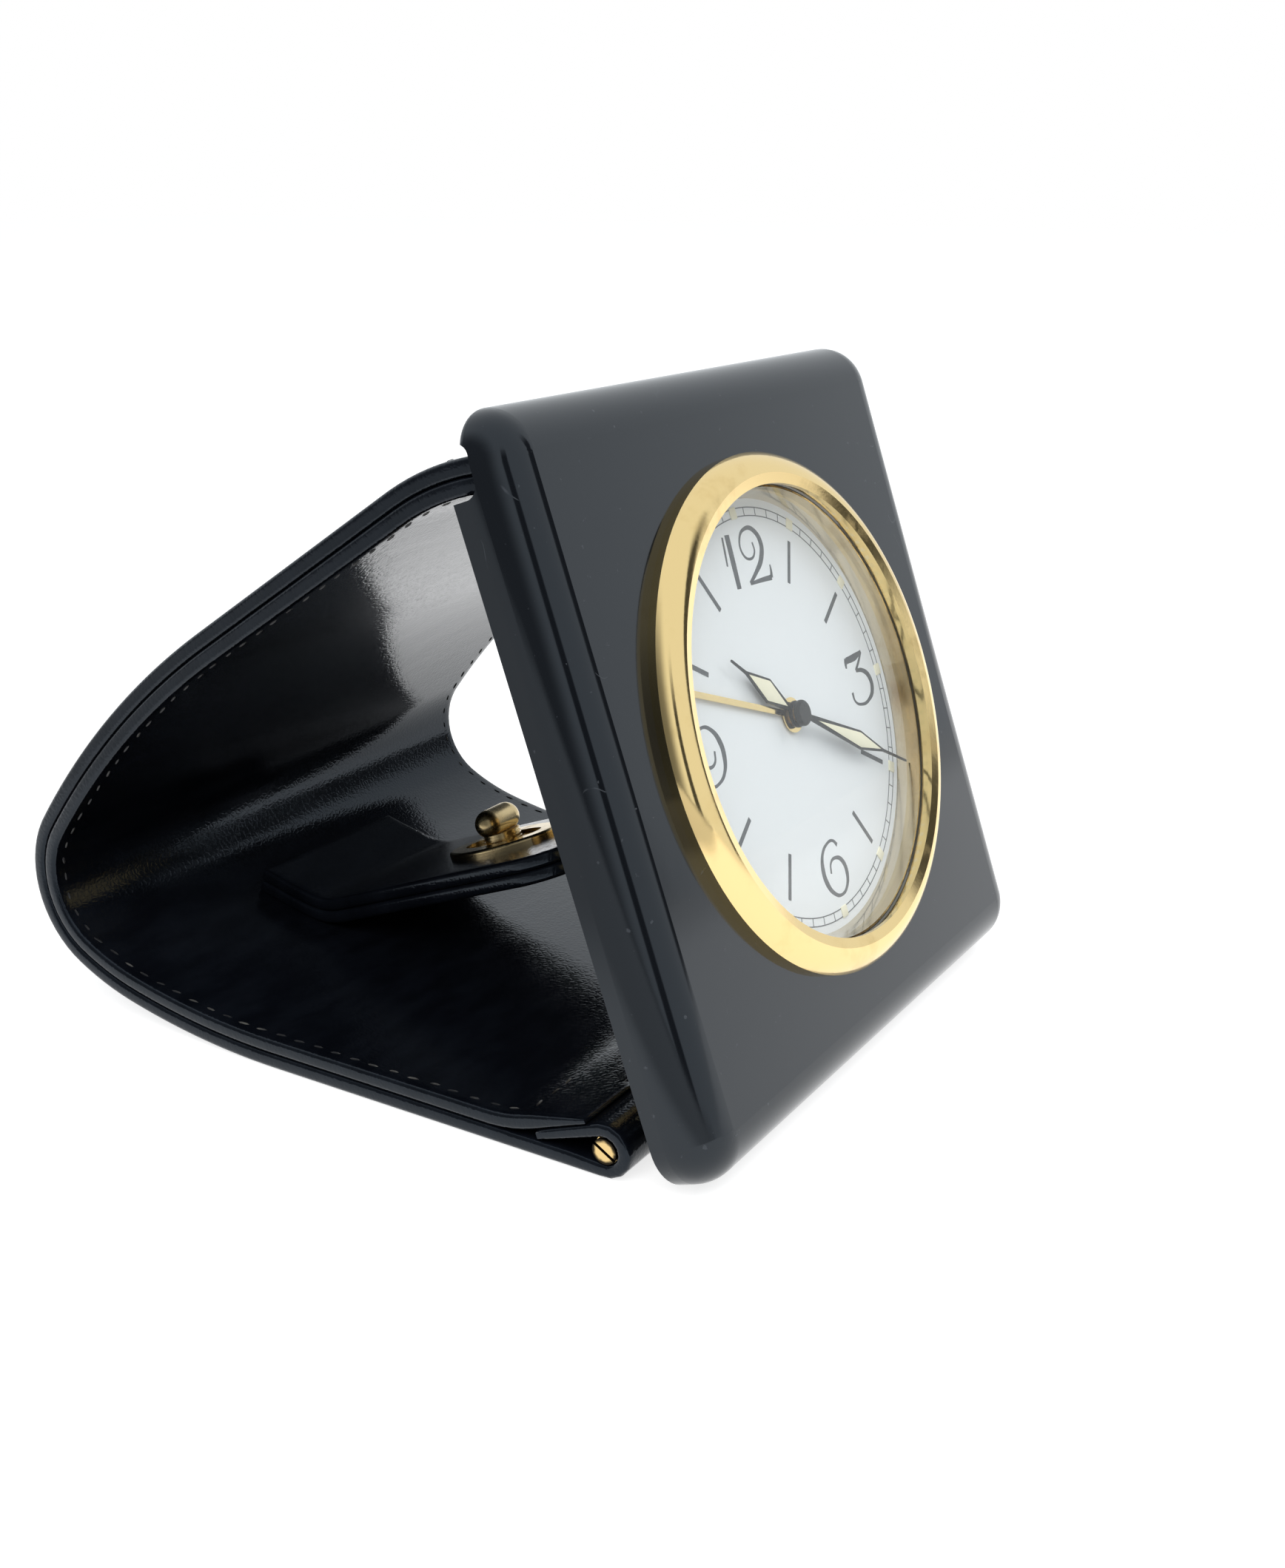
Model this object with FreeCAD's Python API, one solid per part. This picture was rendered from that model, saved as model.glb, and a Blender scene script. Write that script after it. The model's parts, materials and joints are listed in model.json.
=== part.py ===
import FreeCAD, Part
import math
import os

# Folding travel alarm clock: a square lacquered case that leans back on its own leather cover.
# The cover hangs on a pin behind the case's foot, runs back along the table, turns up and over,
# and its free end rests in a groove across the top of the case's back.
#
# Millimetres. Row frame: +X right and +Y back as the dial is faced, +Z up, table at Z 0.
# Case frame, used for everything in the case: X right, Y into the case, Z up the dial,
# with its origin on the dial's axis, 0.6 behind the case's flat face.

V = FreeCAD.Vector
ALONG_X = V(1, 0, 0)
ALONG_Y = V(0, 1, 0)

# ---------------------------------------------------------------- driving dimensions

CASE_W = 76.2              # a three-inch case
CASE_H = 74.6
CASE_FRONT = -0.6          # Y of the case's flat face
CASE_BACK = 5.85           # Y of the case's back
CASE_RISE = 0.2            # the case's middle stands this far above the dial's centre
CORNER_R = 5.2             # corners of the case, seen from the front
EDGE_R = 4.8               # rounding from the face into the sides
LEAN_DEG = 19.24           # the face leans back from upright

BORE_R = 26.25             # bore of the case that takes bezel and movement
PLATE_T = 0.5              # rear plate of the case
PLATE_MARGIN = 1.2         # case left showing round the plate
PLATE_BELOW_GROOVE = 1.0
GROOVE_LOW = 29.9          # groove across the back, near the top
GROOVE_HIGH = 34.8
GROOVE_FLOOR = 3.0         # Y of the groove's floor
GROOVE_CORNER_R = 1.3
LIP_BACK = 4.1             # Y of the thinner lip above the groove

BEZEL_R = 27.7
BEZEL_RIM = -1.5           # Y where the bezel's outer wall ends
BEZEL_CREST = (25.1, -3.25)    # radius and Y of the bezel's crest
SIGHT_R = 24.0             # inner edge of the bezel
SIGHT_Y = -3.0
DIAL_R = 23.4              # dial seen inside the reflector ring
DIAL_Y = 1.2               # face of the dial
DIAL_T = 0.4
GLASS_R = 24.5
GLASS_FRONT = -2.5
GLASS_T = 1.1
GASKET_R = 24.2            # the gasket's inner edge, outside the reflector's thin lip
GASKET_T = 0.3

MINUTE_R = 23.0            # reach of each hand
HOUR_R = 12.6
ALARM_R = 19.0
MINUTE_DEG = 118.2         # where each hand points, clockwise from twelve
HOUR_DEG = 309.9
ALARM_DEG = 290.7
ALARM_HAND_Y = 0.72        # front face of each hand
HOUR_HAND_Y = 0.22
MINUTE_HAND_Y = -0.32
HAND_T = 0.16
CAP_R = 1.42
CAP_T = 0.48
ARBOR_R = 0.60             # minute arbor
TUBE_GAP = 0.05            # running clearance, on the radius
TUBE_WALL = 0.30
HOUR_TUBE_R = ARBOR_R + TUBE_GAP + TUBE_WALL
ALARM_TUBE_R = HOUR_TUBE_R + TUBE_GAP + TUBE_WALL

HOUSING_R = 23.6
HOUSING_WALL = 0.8
MOVEMENT_PLATE_T = 0.9
HOUSING_BACK = 11.0        # Y of the housing's rear face
COVER_BACK = 11.9          # Y of the back cover's rear face
COVER_R = 24.6
COVER_WALL = 0.6
FLANGE_R = 27.6
FLANGE_T = 0.7
BACK_SCREW_RING = 26.1
BACK_SCREW_R = 1.0
GEAR_MODULE = 0.40
TIME_KNOB_BEARING = 135.0  # where each knob stands about the dial's centre, from the top
ALARM_KNOB_BEARING = 225.0
SWITCH_AT = (0.0, 17.0)    # (X, Z) on the back
SWITCH_TRAVEL = 3.0
KNOB_R = 3.4
KNOB_ARBOR_R = 0.8
KNOB_OUT = 2.2
HATCH_AT = (0.0, 6.0)
HATCH_R = 6.4
CELL_R = 5.8
CELL_T = 3.05              # a button cell 11.6 across

PIN_Y = 12.36              # hinge pin, in the case frame
PIN_Z = -32.22
PIN_R = 0.95
TUBE_R = 1.45              # tube that the leather is folded round
LOOP_R = 2.9               # outside of that fold
LUG_X = 24.0               # middle of each lug
LUG_W = 7.0
LUG_R = 2.4
LUG_GAP = 0.3
PIN_HEAD_R = 1.35
PIN_HEAD_T = 0.8

BAND_HALF = 36.8           # half the cover's width
SKIN_T = 1.7               # outer leather
LINING_T = 1.7             # inner leather
TUCK_END = 8.0             # the folded end of the skin reaches this far behind the pin
TUCK_T = 1.15
LINING_START = 2.0
# The cover's outer line from under the pin to the free end: the length of a straight run,
# or the radius and the turn of a bend.
RUN_TABLE = 42.4
BEND_TABLE = (92.0, 13.4)
BEND_HEEL = (32.0, 15.1)
BEND_BACK = (11.5, 98.4)
BEND_RISE = (104.0, 20.1)
RUN_TOP = 30.2
BEND_NOSE = (30.0, 20.9)
OPEN_TURN = 22.0           # the cover opens about a line this many degrees into the back bend
SPLIT_GAP = 0.15
NOSE_R = 1.0

TAB_HALF = 12.0            # closing tab inside the loop
TAB_T = 1.6                # each of its two leathers
TAB_SEWN = 8.0             # length sewn to the lining
TAB_LEAVES = 59.0          # it leaves the lining this far behind the pin
TAB_BEND_R = 10.0
TAB_RISE_DEG = 21.1
TAB_FLAT = 35.0            # straight part, to the tip
TAB_TIP_R = 7.0
EYELET_LONG = 15.5
EYELET_WIDE = 10.5
EYELET_T = 0.8
EYELET_AT = 18.2           # its middle, from the start of the straight part
STUD_R = 2.3
STUD_H = 1.65              # post of the turn-bar, above the leather
BAR_R = 1.7
BAR_LENGTH = 6.7


# ---------------------------------------------------------------- frames

LEAN = math.radians(LEAN_DEG)
# Height of the dial's centre that sets the fold round the pin on the table.
DIAL_HEIGHT = LOOP_R + PIN_Y * math.sin(LEAN) - PIN_Z * math.cos(LEAN)


def row_point(y, z):
    """A case-frame (Y, Z) as the row frame's, before the row's origin is set."""
    return (y * math.cos(LEAN) + z * math.sin(LEAN),
            -y * math.sin(LEAN) + z * math.cos(LEAN) + DIAL_HEIGHT)


PIN_ROW = row_point(PIN_Y, PIN_Z)


def outer_line():
    """The cover's outer line as ('run', start, end) and ('bend', centre, radius, a0, a1) pieces.

    Angles are headings in degrees: 0 runs back along +Y, 90 runs up."""
    y, z, heading = PIN_ROW[0], PIN_ROW[1] - LOOP_R, 0.0
    pieces = []
    for step in (RUN_TABLE, BEND_TABLE, BEND_HEEL, BEND_BACK, BEND_RISE, RUN_TOP, BEND_NOSE):
        if isinstance(step, tuple):
            radius, turn = step
            h = math.radians(heading)
            cy, cz = y - radius * math.sin(h), z + radius * math.cos(h)
            pieces.append(("bend", (cy, cz), radius, heading, heading + turn))
            heading += turn
            h = math.radians(heading)
            y, z = cy + radius * math.sin(h), cz - radius * math.cos(h)
        else:
            h = math.radians(heading)
            end = (y + step * math.cos(h), z + step * math.sin(h))
            pieces.append(("run", (y, z), end, heading, heading))
            y, z = end
    return pieces


LINE = outer_line()
BACK_BEND = LINE[3]
OPEN_HEADING = BACK_BEND[3] + OPEN_TURN


def on_line(piece, heading, depth):
    """The point of a bend at a heading, at a depth inside the cover's outer face."""
    (cy, cz), radius = piece[1], piece[2] - depth
    h = math.radians(heading)
    return (cy + radius * math.sin(h), cz - radius * math.cos(h))


OPEN_ROW = on_line(BACK_BEND, OPEN_HEADING, 0.0)


def lean(shape):
    """Take a shape from the case frame to its place over the table."""
    shape.rotate(V(0, 0, 0), ALONG_X, -LEAN_DEG)
    shape.translate(V(0, 0, DIAL_HEIGHT))
    return shape


# ---------------------------------------------------------------- small builders

def disc(radius, y0, y1, x=0.0, z=0.0):
    """A cylinder along the case's Y."""
    return Part.makeCylinder(radius, y1 - y0, V(x, y0, z), ALONG_Y)


def ring(outer, inner, y0, y1, x=0.0, z=0.0):
    return disc(outer, y0, y1, x, z).cut(disc(inner, y0 - 1, y1 + 1, x, z))


def bar_x(radius, x0, x1, y, z):
    """A cylinder along X."""
    return Part.makeCylinder(radius, x1 - x0, V(x0, y, z), ALONG_X)


def box(x0, x1, y0, y1, z0, z1):
    return Part.makeBox(x1 - x0, y1 - y0, z1 - z0, V(x0, y0, z0))


def edges_along(shape, direction, test):
    """Straight edges along a direction whose middle passes a test."""
    found = []
    for edge in shape.Edges:
        ends = [v.Point for v in edge.Vertexes]
        if len(ends) == 2 and isinstance(edge.Curve, Part.Line):
            along = (ends[1] - ends[0]).normalize()
            if abs(along.dot(direction)) > 0.999 and test((ends[0] + ends[1]) / 2):
                found.append(edge)
    return found


def face_of(points):
    """A flat face from corner points; a triple (p, mid, q) in the list is an arc from p to q."""
    edges = []
    last = points[0]
    for item in points[1:]:
        if isinstance(item, tuple):
            mid, end = item
            edges.append(Part.Arc(last, mid, end).toShape())
            last = end
        else:
            edges.append(Part.LineSegment(last, item).toShape())
            last = item
    if (last - points[0]).Length > 1e-6:
        edges.append(Part.LineSegment(last, points[0]).toShape())
    return Part.Face(Part.Wire(edges))


def turned(profile, x=0.0, z=0.0):
    """Turn a face given as (radius, Y) corners, with arcs as (mid, end) pairs, about the case's Y."""
    def at(p):
        return V(x + p[0], p[1], z)
    points = [at(p) if not isinstance(p[0], tuple) else (at(p[0]), at(p[1])) for p in profile]
    return face_of(points).revolve(V(x, 0, z), ALONG_Y, 360)


def profile_x(points, x0, x1):
    """Extrude a (Y, Z) outline along X."""
    def at(p):
        return V(x0, p[0], p[1])
    outline = [at(p) if not isinstance(p[0], tuple) else (at(p[0]), at(p[1])) for p in points]
    return face_of(outline).extrude(V(x1 - x0, 0, 0))


# ---------------------------------------------------------------- case

def case_body():
    """Lacquered brass body: one square plate with rounded edges, bored right through."""
    z0 = CASE_RISE - CASE_H / 2
    body = box(-CASE_W / 2, CASE_W / 2, CASE_FRONT, CASE_BACK, z0, z0 + CASE_H)
    body = body.makeFillet(CORNER_R, edges_along(body, ALONG_Y, lambda p: True))
    front = [e for e in body.Edges if max(v.Point.y for v in e.Vertexes) < CASE_FRONT + 1e-6]
    body = body.makeFillet(EDGE_R, front)
    body = body.cut(disc(BORE_R, -1, CASE_BACK + 1))
    groove = box(-CASE_W, CASE_W, GROOVE_FLOOR, CASE_BACK + 2, GROOVE_LOW, GROOVE_HIGH)
    floor = edges_along(groove, ALONG_X, lambda p: p.y < GROOVE_FLOOR + 0.1)
    body = body.cut(groove.makeFillet(GROOVE_CORNER_R, floor))
    lip = box(-CASE_W, CASE_W, LIP_BACK, CASE_BACK + 2, GROOVE_HIGH - 0.5, CASE_H)
    body = body.cut(lip)
    lip_edges = edges_along(body, ALONG_X, lambda p: p.z > GROOVE_HIGH - 0.1 and p.y > 3.4)
    body = body.makeFillet(0.6, lip_edges)
    return body.cut(rear_panel(CASE_BACK + 1))


def rear_panel(y1):
    """The square let into the back, below the groove, with its corners rounded like the case's."""
    half = CASE_W / 2 - PLATE_MARGIN
    low = CASE_RISE - CASE_H / 2 + PLATE_MARGIN
    panel = box(-half, half, CASE_BACK - PLATE_T, y1, low, GROOVE_LOW - PLATE_BELOW_GROOVE)
    lower = edges_along(panel, ALONG_Y, lambda p: p.z < 0)
    return panel.makeFillet(CORNER_R - PLATE_MARGIN, lower)


def back_plate():
    """Thin plate let into the back of the case, with a round opening for the movement."""
    return rear_panel(CASE_BACK).cut(disc(HOUSING_R + 0.2, 0, CASE_BACK + 1))


def bezel():
    """Gilt bezel: low outer wall, a round shoulder up to the crest, a shallow slope in to the glass."""
    outline = [
        (BEZEL_R, CASE_FRONT), (BEZEL_R, BEZEL_RIM), ((26.95, -2.52), BEZEL_CREST),
        (SIGHT_R, SIGHT_Y), (SIGHT_R, GLASS_FRONT), (GLASS_R, GLASS_FRONT),
        (GLASS_R, DIAL_Y + DIAL_T), (BORE_R - 0.05, DIAL_Y + DIAL_T), (BORE_R - 0.05, CASE_FRONT),
    ]
    return turned(outline)


def crystal():
    back = GLASS_FRONT + GLASS_T
    glass = disc(GLASS_R, GLASS_FRONT, back)
    rim = [e for e in glass.Edges if isinstance(e.Curve, Part.Circle)
           and e.Vertexes[0].Point.y > back - 0.01]
    return glass.makeChamfer(0.15, rim)


def gasket():
    back = GLASS_FRONT + GLASS_T
    return ring(GLASS_R, GASKET_R, back, back + GASKET_T)


def reflector():
    """Gilt ring that slopes from the glass to the dial's edge, stepped outside for the gasket."""
    front = GLASS_FRONT + GLASS_T
    return turned([
        (GASKET_R, front), (GASKET_R, front + GASKET_T), (GLASS_R, front + GASKET_T),
        (GLASS_R, DIAL_Y), (DIAL_R, DIAL_Y), (SIGHT_R, front),
    ])


def dial():
    return ring(GLASS_R, ALARM_TUBE_R + 0.25, DIAL_Y, DIAL_Y + DIAL_T)


# ---------------------------------------------------------------- hands

def hand(reach, wide_at, width, needle_at, hub_r, hole_r, y, degrees):
    """A lozenge that runs out to a needle, on a round hub, pointing clockwise from twelve."""
    root, needle = 0.26, 0.16
    side = [V(-root, y, hub_r * 0.8), V(-width / 2, y, wide_at), V(-needle, y, needle_at),
            V(-needle * 0.7, y, reach), V(needle * 0.7, y, reach), V(needle, y, needle_at),
            V(width / 2, y, wide_at), V(root, y, hub_r * 0.8)]
    blade = face_of(side).extrude(V(0, HAND_T, 0))
    whole = blade.fuse(disc(hub_r, y, y + HAND_T)).removeSplitter()
    if hole_r:
        whole = whole.cut(disc(hole_r, y - 1, y + 1))
    whole.rotate(V(0, 0, 0), ALONG_Y, degrees)
    return whole


def minute_hand():
    return hand(MINUTE_R, 12.5, 2.2, 17.6, 1.3, ARBOR_R, MINUTE_HAND_Y, MINUTE_DEG)


def hour_hand():
    return hand(HOUR_R, 5.6, 2.8, 9.9, 1.45, HOUR_TUBE_R, HOUR_HAND_Y, HOUR_DEG)


def alarm_hand():
    y = ALARM_HAND_Y
    blade = box(-0.33, 0.33, y, y + HAND_T, 1.2, ALARM_R)
    whole = blade.fuse(disc(1.9, y, y + HAND_T)).removeSplitter()
    whole = whole.cut(disc(ALARM_TUBE_R, y - 1, y + 1))
    whole.rotate(V(0, 0, 0), ALONG_Y, ALARM_DEG)
    return whole


def hand_cap():
    """Small cap with a rounded front that holds the minute hand on its arbor."""
    front = MINUTE_HAND_Y - CAP_T
    cap = disc(CAP_R, front, MINUTE_HAND_Y)
    rim = [e for e in cap.Edges if isinstance(e.Curve, Part.Circle)
           and e.Vertexes[0].Point.y < front + 0.01]
    return cap.makeFillet(0.32, rim)


# ---------------------------------------------------------------- movement

def gear(teeth, y0, y1, x=0.0, z=0.0, turn_deg=0.0):
    """A fine spur wheel with straight-flanked teeth, thin enough to run with backlash."""
    pitch_r = GEAR_MODULE * teeth / 2
    tip, root = pitch_r + 0.7 * GEAR_MODULE, pitch_r - 0.95 * GEAR_MODULE
    step = 2 * math.pi / teeth
    corners = []
    for i in range(teeth):
        middle = i * step + math.radians(turn_deg)
        for offset, radius in ((-0.27, root), (-0.11, tip), (0.11, tip), (0.27, root)):
            a = middle + offset * step
            corners.append(V(x + radius * math.sin(a), y0, z + radius * math.cos(a)))
    return face_of(corners).extrude(V(0, y1 - y0, 0))


CANNON_TEETH = 40          # wheels on the dial's axis, each with its set knob's pinion
TIME_PINION_TEETH = 16
ALARM_TEETH = 36
ALARM_PINION_TEETH = 20
CANNON_PINION_TEETH = 10   # motion work: 10 into 30, then 8 into 32, twelve to one
MINUTE_WHEEL_TEETH = 30
MINUTE_PINION_TEETH = 8
HOUR_WHEEL_TEETH = 32
WHEEL_T = 0.5
WHEEL_STEP = 0.9           # from one level of wheels to the next
PLATE_BACK = DIAL_Y + DIAL_T + MOVEMENT_PLATE_T
ALARM_WHEEL_Y = PLATE_BACK + 0.3
HOUR_WHEEL_Y = ALARM_WHEEL_Y + WHEEL_STEP
MINUTE_WHEEL_Y = HOUR_WHEEL_Y + WHEEL_STEP
CANNON_Y = MINUTE_WHEEL_Y + WHEEL_STEP
TRAIN_BACK = CANNON_Y + WHEEL_T
BOARD_T = 0.8
MINUTE_WHEEL_BEARING = 60.0


def mesh_place(bearing_deg, teeth, other_teeth):
    """Centre (X, Z) of a wheel in mesh with one on the dial's axis, at a bearing from twelve."""
    reach = GEAR_MODULE * (teeth + other_teeth) / 2
    a = math.radians(bearing_deg)
    return reach * math.sin(a), reach * math.cos(a)


def mesh_turn(bearing_deg, teeth, centre_teeth):
    """Turn that puts a gap of the outer wheel on a tooth of the centre one."""
    pitch = 360.0 / centre_teeth
    past = bearing_deg - math.floor(bearing_deg / pitch) * pitch
    return bearing_deg + 180.0 + past * centre_teeth / teeth + 180.0 / teeth


TIME_KNOB_AT = mesh_place(TIME_KNOB_BEARING, TIME_PINION_TEETH, CANNON_TEETH)
ALARM_KNOB_AT = mesh_place(ALARM_KNOB_BEARING, ALARM_PINION_TEETH, ALARM_TEETH)


def movement_plate():
    """Plate under the dial that carries every arbor."""
    plate = ring(BORE_R - 0.05, ALARM_TUBE_R + TUBE_GAP, DIAL_Y + DIAL_T, PLATE_BACK)
    at = mesh_place(MINUTE_WHEEL_BEARING, MINUTE_WHEEL_TEETH, CANNON_PINION_TEETH)
    return plate.cut(disc(0.4 + TUBE_GAP, PLATE_BACK - 0.65, PLATE_BACK + 1, *at))


def movement_housing():
    """Moulded cup behind the plate, with openings for the set arbors and the cell."""
    cup = disc(HOUSING_R, PLATE_BACK, HOUSING_BACK)
    cup = cup.cut(disc(HOUSING_R - HOUSING_WALL, PLATE_BACK - 1, HOUSING_BACK - HOUSING_WALL))
    for x, z in (TIME_KNOB_AT, ALARM_KNOB_AT):
        cup = cup.cut(disc(KNOB_ARBOR_R + TUBE_GAP, HOUSING_BACK - 2, HOUSING_BACK + 1, x, z))
    x, z = HATCH_AT
    cup = cup.cut(disc(CELL_R + 0.15, HOUSING_BACK - 2, HOUSING_BACK + 1, x, z))
    x, z = SWITCH_AT
    slot = box(x - SWITCH_TRAVEL, x + SWITCH_TRAVEL, HOUSING_BACK - 2, HOUSING_BACK + 1,
               z - 0.75, z + 0.75)
    return cup.cut(slot)


def cannon_wheel():
    """Minute arbor with its pinion and its wheel."""
    arbor = disc(ARBOR_R, MINUTE_HAND_Y, TRAIN_BACK + 0.8)
    pinion = gear(CANNON_PINION_TEETH, MINUTE_WHEEL_Y, CANNON_Y)
    return arbor.fuse(pinion).fuse(gear(CANNON_TEETH, CANNON_Y, TRAIN_BACK)).removeSplitter()


def minute_wheel():
    """Idle wheel and pinion between the minute arbor and the hour wheel."""
    at = mesh_place(MINUTE_WHEEL_BEARING, MINUTE_WHEEL_TEETH, CANNON_PINION_TEETH)
    bearing = MINUTE_WHEEL_BEARING
    wheel = gear(MINUTE_WHEEL_TEETH, MINUTE_WHEEL_Y, MINUTE_WHEEL_Y + WHEEL_T, *at,
                 mesh_turn(bearing, MINUTE_WHEEL_TEETH, CANNON_PINION_TEETH))
    pinion = gear(MINUTE_PINION_TEETH, HOUR_WHEEL_Y, MINUTE_WHEEL_Y, *at,
                  mesh_turn(bearing, MINUTE_PINION_TEETH, HOUR_WHEEL_TEETH))
    stem = disc(0.4, PLATE_BACK - 0.6, MINUTE_WHEEL_Y + WHEEL_T + 0.3, *at)
    return wheel.fuse(pinion).fuse(stem).removeSplitter()


def hour_wheel():
    tube = disc(HOUR_TUBE_R, HOUR_HAND_Y, HOUR_WHEEL_Y + WHEEL_T)
    wheel = gear(HOUR_WHEEL_TEETH, HOUR_WHEEL_Y, HOUR_WHEEL_Y + WHEEL_T)
    return tube.fuse(wheel).cut(disc(ARBOR_R + TUBE_GAP, -5, 20))


def alarm_wheel():
    tube = disc(ALARM_TUBE_R, ALARM_HAND_Y, ALARM_WHEEL_Y + WHEEL_T)
    wheel = gear(ALARM_TEETH, ALARM_WHEEL_Y, ALARM_WHEEL_Y + WHEEL_T)
    return tube.fuse(wheel).cut(disc(HOUR_TUBE_R + TUBE_GAP, -5, 20))


def set_knob(bearing, pinion_teeth, wheel_teeth, wheel_y):
    """Fluted knob on the back, its arbor and the pinion that drives a wheel on the dial's axis."""
    x, z = mesh_place(bearing, pinion_teeth, wheel_teeth)
    arbor = disc(KNOB_ARBOR_R, wheel_y, COVER_BACK + 0.4, x, z)
    knob = disc(KNOB_R, COVER_BACK + 0.3, COVER_BACK + 0.3 + KNOB_OUT, x, z)
    for i in range(16):
        a = 2 * math.pi * i / 16
        knob = knob.cut(disc(0.32, COVER_BACK, COVER_BACK + 4,
                             x + KNOB_R * math.sin(a), z + KNOB_R * math.cos(a)))
    pinion = gear(pinion_teeth, wheel_y, wheel_y + WHEEL_T, x, z,
                  mesh_turn(bearing, pinion_teeth, wheel_teeth))
    return arbor.fuse(knob).fuse(pinion).removeSplitter()


def circuit_board():
    """Board at the top of the housing, behind the wheels."""
    y0 = TRAIN_BACK + 0.6
    board = disc(HOUSING_R - HOUSING_WALL, y0, y0 + BOARD_T)
    return board.cut(box(-30, 30, 0, 20, -30, 13.6))


def coil():
    """Bobbin of fine wire with its iron core, beside the wheels."""
    y0 = PLATE_BACK + 0.2
    x0 = -19.0
    core = box(x0, x0 + 3, y0, y0 + 2.4, -7, 11)
    bobbin = box(x0 - 0.6, x0 + 3.6, y0 - 0.2, y0 + 3.0, -4, 8)
    return core.fuse(bobbin).removeSplitter()


CELL_FRONT = HOUSING_BACK - HOUSING_WALL - 2.5


def cell():
    x, z = HATCH_AT
    return disc(CELL_R, CELL_FRONT, CELL_FRONT + CELL_T, x, z)


def cell_contact():
    """Spring strip from the board to the front of the cell."""
    x, z = HATCH_AT
    return box(x - 1.5, x + 1.5, TRAIN_BACK + 0.6 + BOARD_T, CELL_FRONT, z - 5, z + 9)


def sounder():
    """Round sounder for the alarm, on the plate."""
    return disc(4.6, PLATE_BACK, PLATE_BACK + 2.6, 0, -18.0)


def back_cover():
    """Round gilt cover over the movement, with a screwed flange."""
    cup = disc(COVER_R, CASE_BACK, COVER_BACK)
    rim = [e for e in cup.Edges if isinstance(e.Curve, Part.Circle)
           and e.Vertexes[0].Point.y > COVER_BACK - 0.01]
    cup = cup.makeFillet(1.4, rim)
    cup = cup.cut(disc(COVER_R - COVER_WALL, 0, COVER_BACK - COVER_WALL))
    cup = cup.fuse(ring(FLANGE_R, COVER_R - COVER_WALL, CASE_BACK, CASE_BACK + FLANGE_T)).removeSplitter()
    for x, z in (TIME_KNOB_AT, ALARM_KNOB_AT):
        cup = cup.cut(disc(1.0, CASE_BACK, COVER_BACK + 1, x, z))
    x, z = HATCH_AT
    cup = cup.cut(disc(HATCH_R + 0.06, CASE_BACK, COVER_BACK + 1, x, z))
    x, z = SWITCH_AT
    cup = cup.cut(box(x - SWITCH_TRAVEL, x + SWITCH_TRAVEL, CASE_BACK, COVER_BACK + 1,
                      z - 0.75, z + 0.75))
    for x, z in back_screw_places():
        cup = cup.cut(disc(0.5, 0, CASE_BACK + 3, x, z))
    return cup


def back_screw_places():
    return [(BACK_SCREW_RING * math.sin(math.radians(a)), BACK_SCREW_RING * math.cos(math.radians(a)))
            for a in (45, 135, 225, 315)]


def slotted_screw(head_r, head_t, shank_r, shank_l, slot_w):
    """A cheese-head screw along +Y: head from 0 to head_t, shank running to -shank_l."""
    head = disc(head_r, 0, head_t)
    head = head.cut(box(-slot_w / 2, slot_w / 2, head_t * 0.55, head_t + 1, -head_r - 1, head_r + 1))
    if shank_l:
        head = head.fuse(disc(shank_r, -shank_l, 0)).removeSplitter()
    return head


def back_screws():
    screws = []
    for i, (x, z) in enumerate(back_screw_places()):
        screw = slotted_screw(BACK_SCREW_R, 0.6, 0.5, FLANGE_T, 0.3)
        screw.rotate(V(0, 0, 0), ALONG_Y, 35 + 50 * i)
        screw.translate(V(x, CASE_BACK + FLANGE_T, z))
        screws.append(screw)
    return Part.makeCompound(screws)


def battery_hatch():
    """Coin-turned lid over the cell."""
    x, z = HATCH_AT
    lid = disc(HATCH_R, COVER_BACK - COVER_WALL, COVER_BACK + 0.35, x, z)
    return lid.cut(box(x - 4.4, x + 4.4, COVER_BACK - 0.15, COVER_BACK + 1, z - 0.7, z + 0.7))


def alarm_switch():
    x, z = SWITCH_AT
    x -= SWITCH_TRAVEL / 2
    foot_top = HOUSING_BACK - HOUSING_WALL - TUBE_GAP
    stem = box(x - 1.2, x + 1.2, foot_top, COVER_BACK + 1.3, z - 0.68, z + 0.68)
    foot = box(x - 1.4, x + 1.4, foot_top - 0.8, foot_top, z - 1.4, z + 1.4)
    cap = box(x - 1.3, x + 1.3, COVER_BACK + 0.1, COVER_BACK + 1.3, z - 1.2, z + 1.2)
    return stem.fuse(foot).fuse(cap).removeSplitter()


# ---------------------------------------------------------------- hinge

def hinge_lugs():
    """Two lugs on a common foot, screwed to the case's back, that hold the pin."""
    parts = []
    for side in (-1, 1):
        x0, x1 = side * LUG_X - LUG_W / 2, side * LUG_X + LUG_W / 2
        foot = box(x0, x1, CASE_BACK, CASE_BACK + 0.9, PIN_Z - 3.0, PIN_Z + 6.5)
        arm = box(x0, x1, CASE_BACK, PIN_Y, PIN_Z - 1.6, PIN_Z + 1.6)
        lug = foot.fuse(arm).fuse(bar_x(LUG_R, x0, x1, PIN_Y, PIN_Z)).removeSplitter()
        lug = lug.cut(bar_x(PIN_R, x0 - 1, x1 + 1, PIN_Y, PIN_Z))
        parts.append(lug)
    return Part.makeCompound(parts)


def lug_screws():
    screws = []
    for side in (-1, 1):
        screw = slotted_screw(1.0, 0.5, 0.5, 0, 0.3)
        screw.rotate(V(0, 0, 0), ALONG_Y, 20 * side)
        screw.translate(V(side * LUG_X, CASE_BACK + 0.9, PIN_Z + 4.6))
        screws.append(screw)
    return Part.makeCompound(screws)


def hinge_pin():
    end = BAND_HALF - PIN_HEAD_T - 0.1
    return bar_x(PIN_R, -end, end, PIN_Y, PIN_Z)


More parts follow.
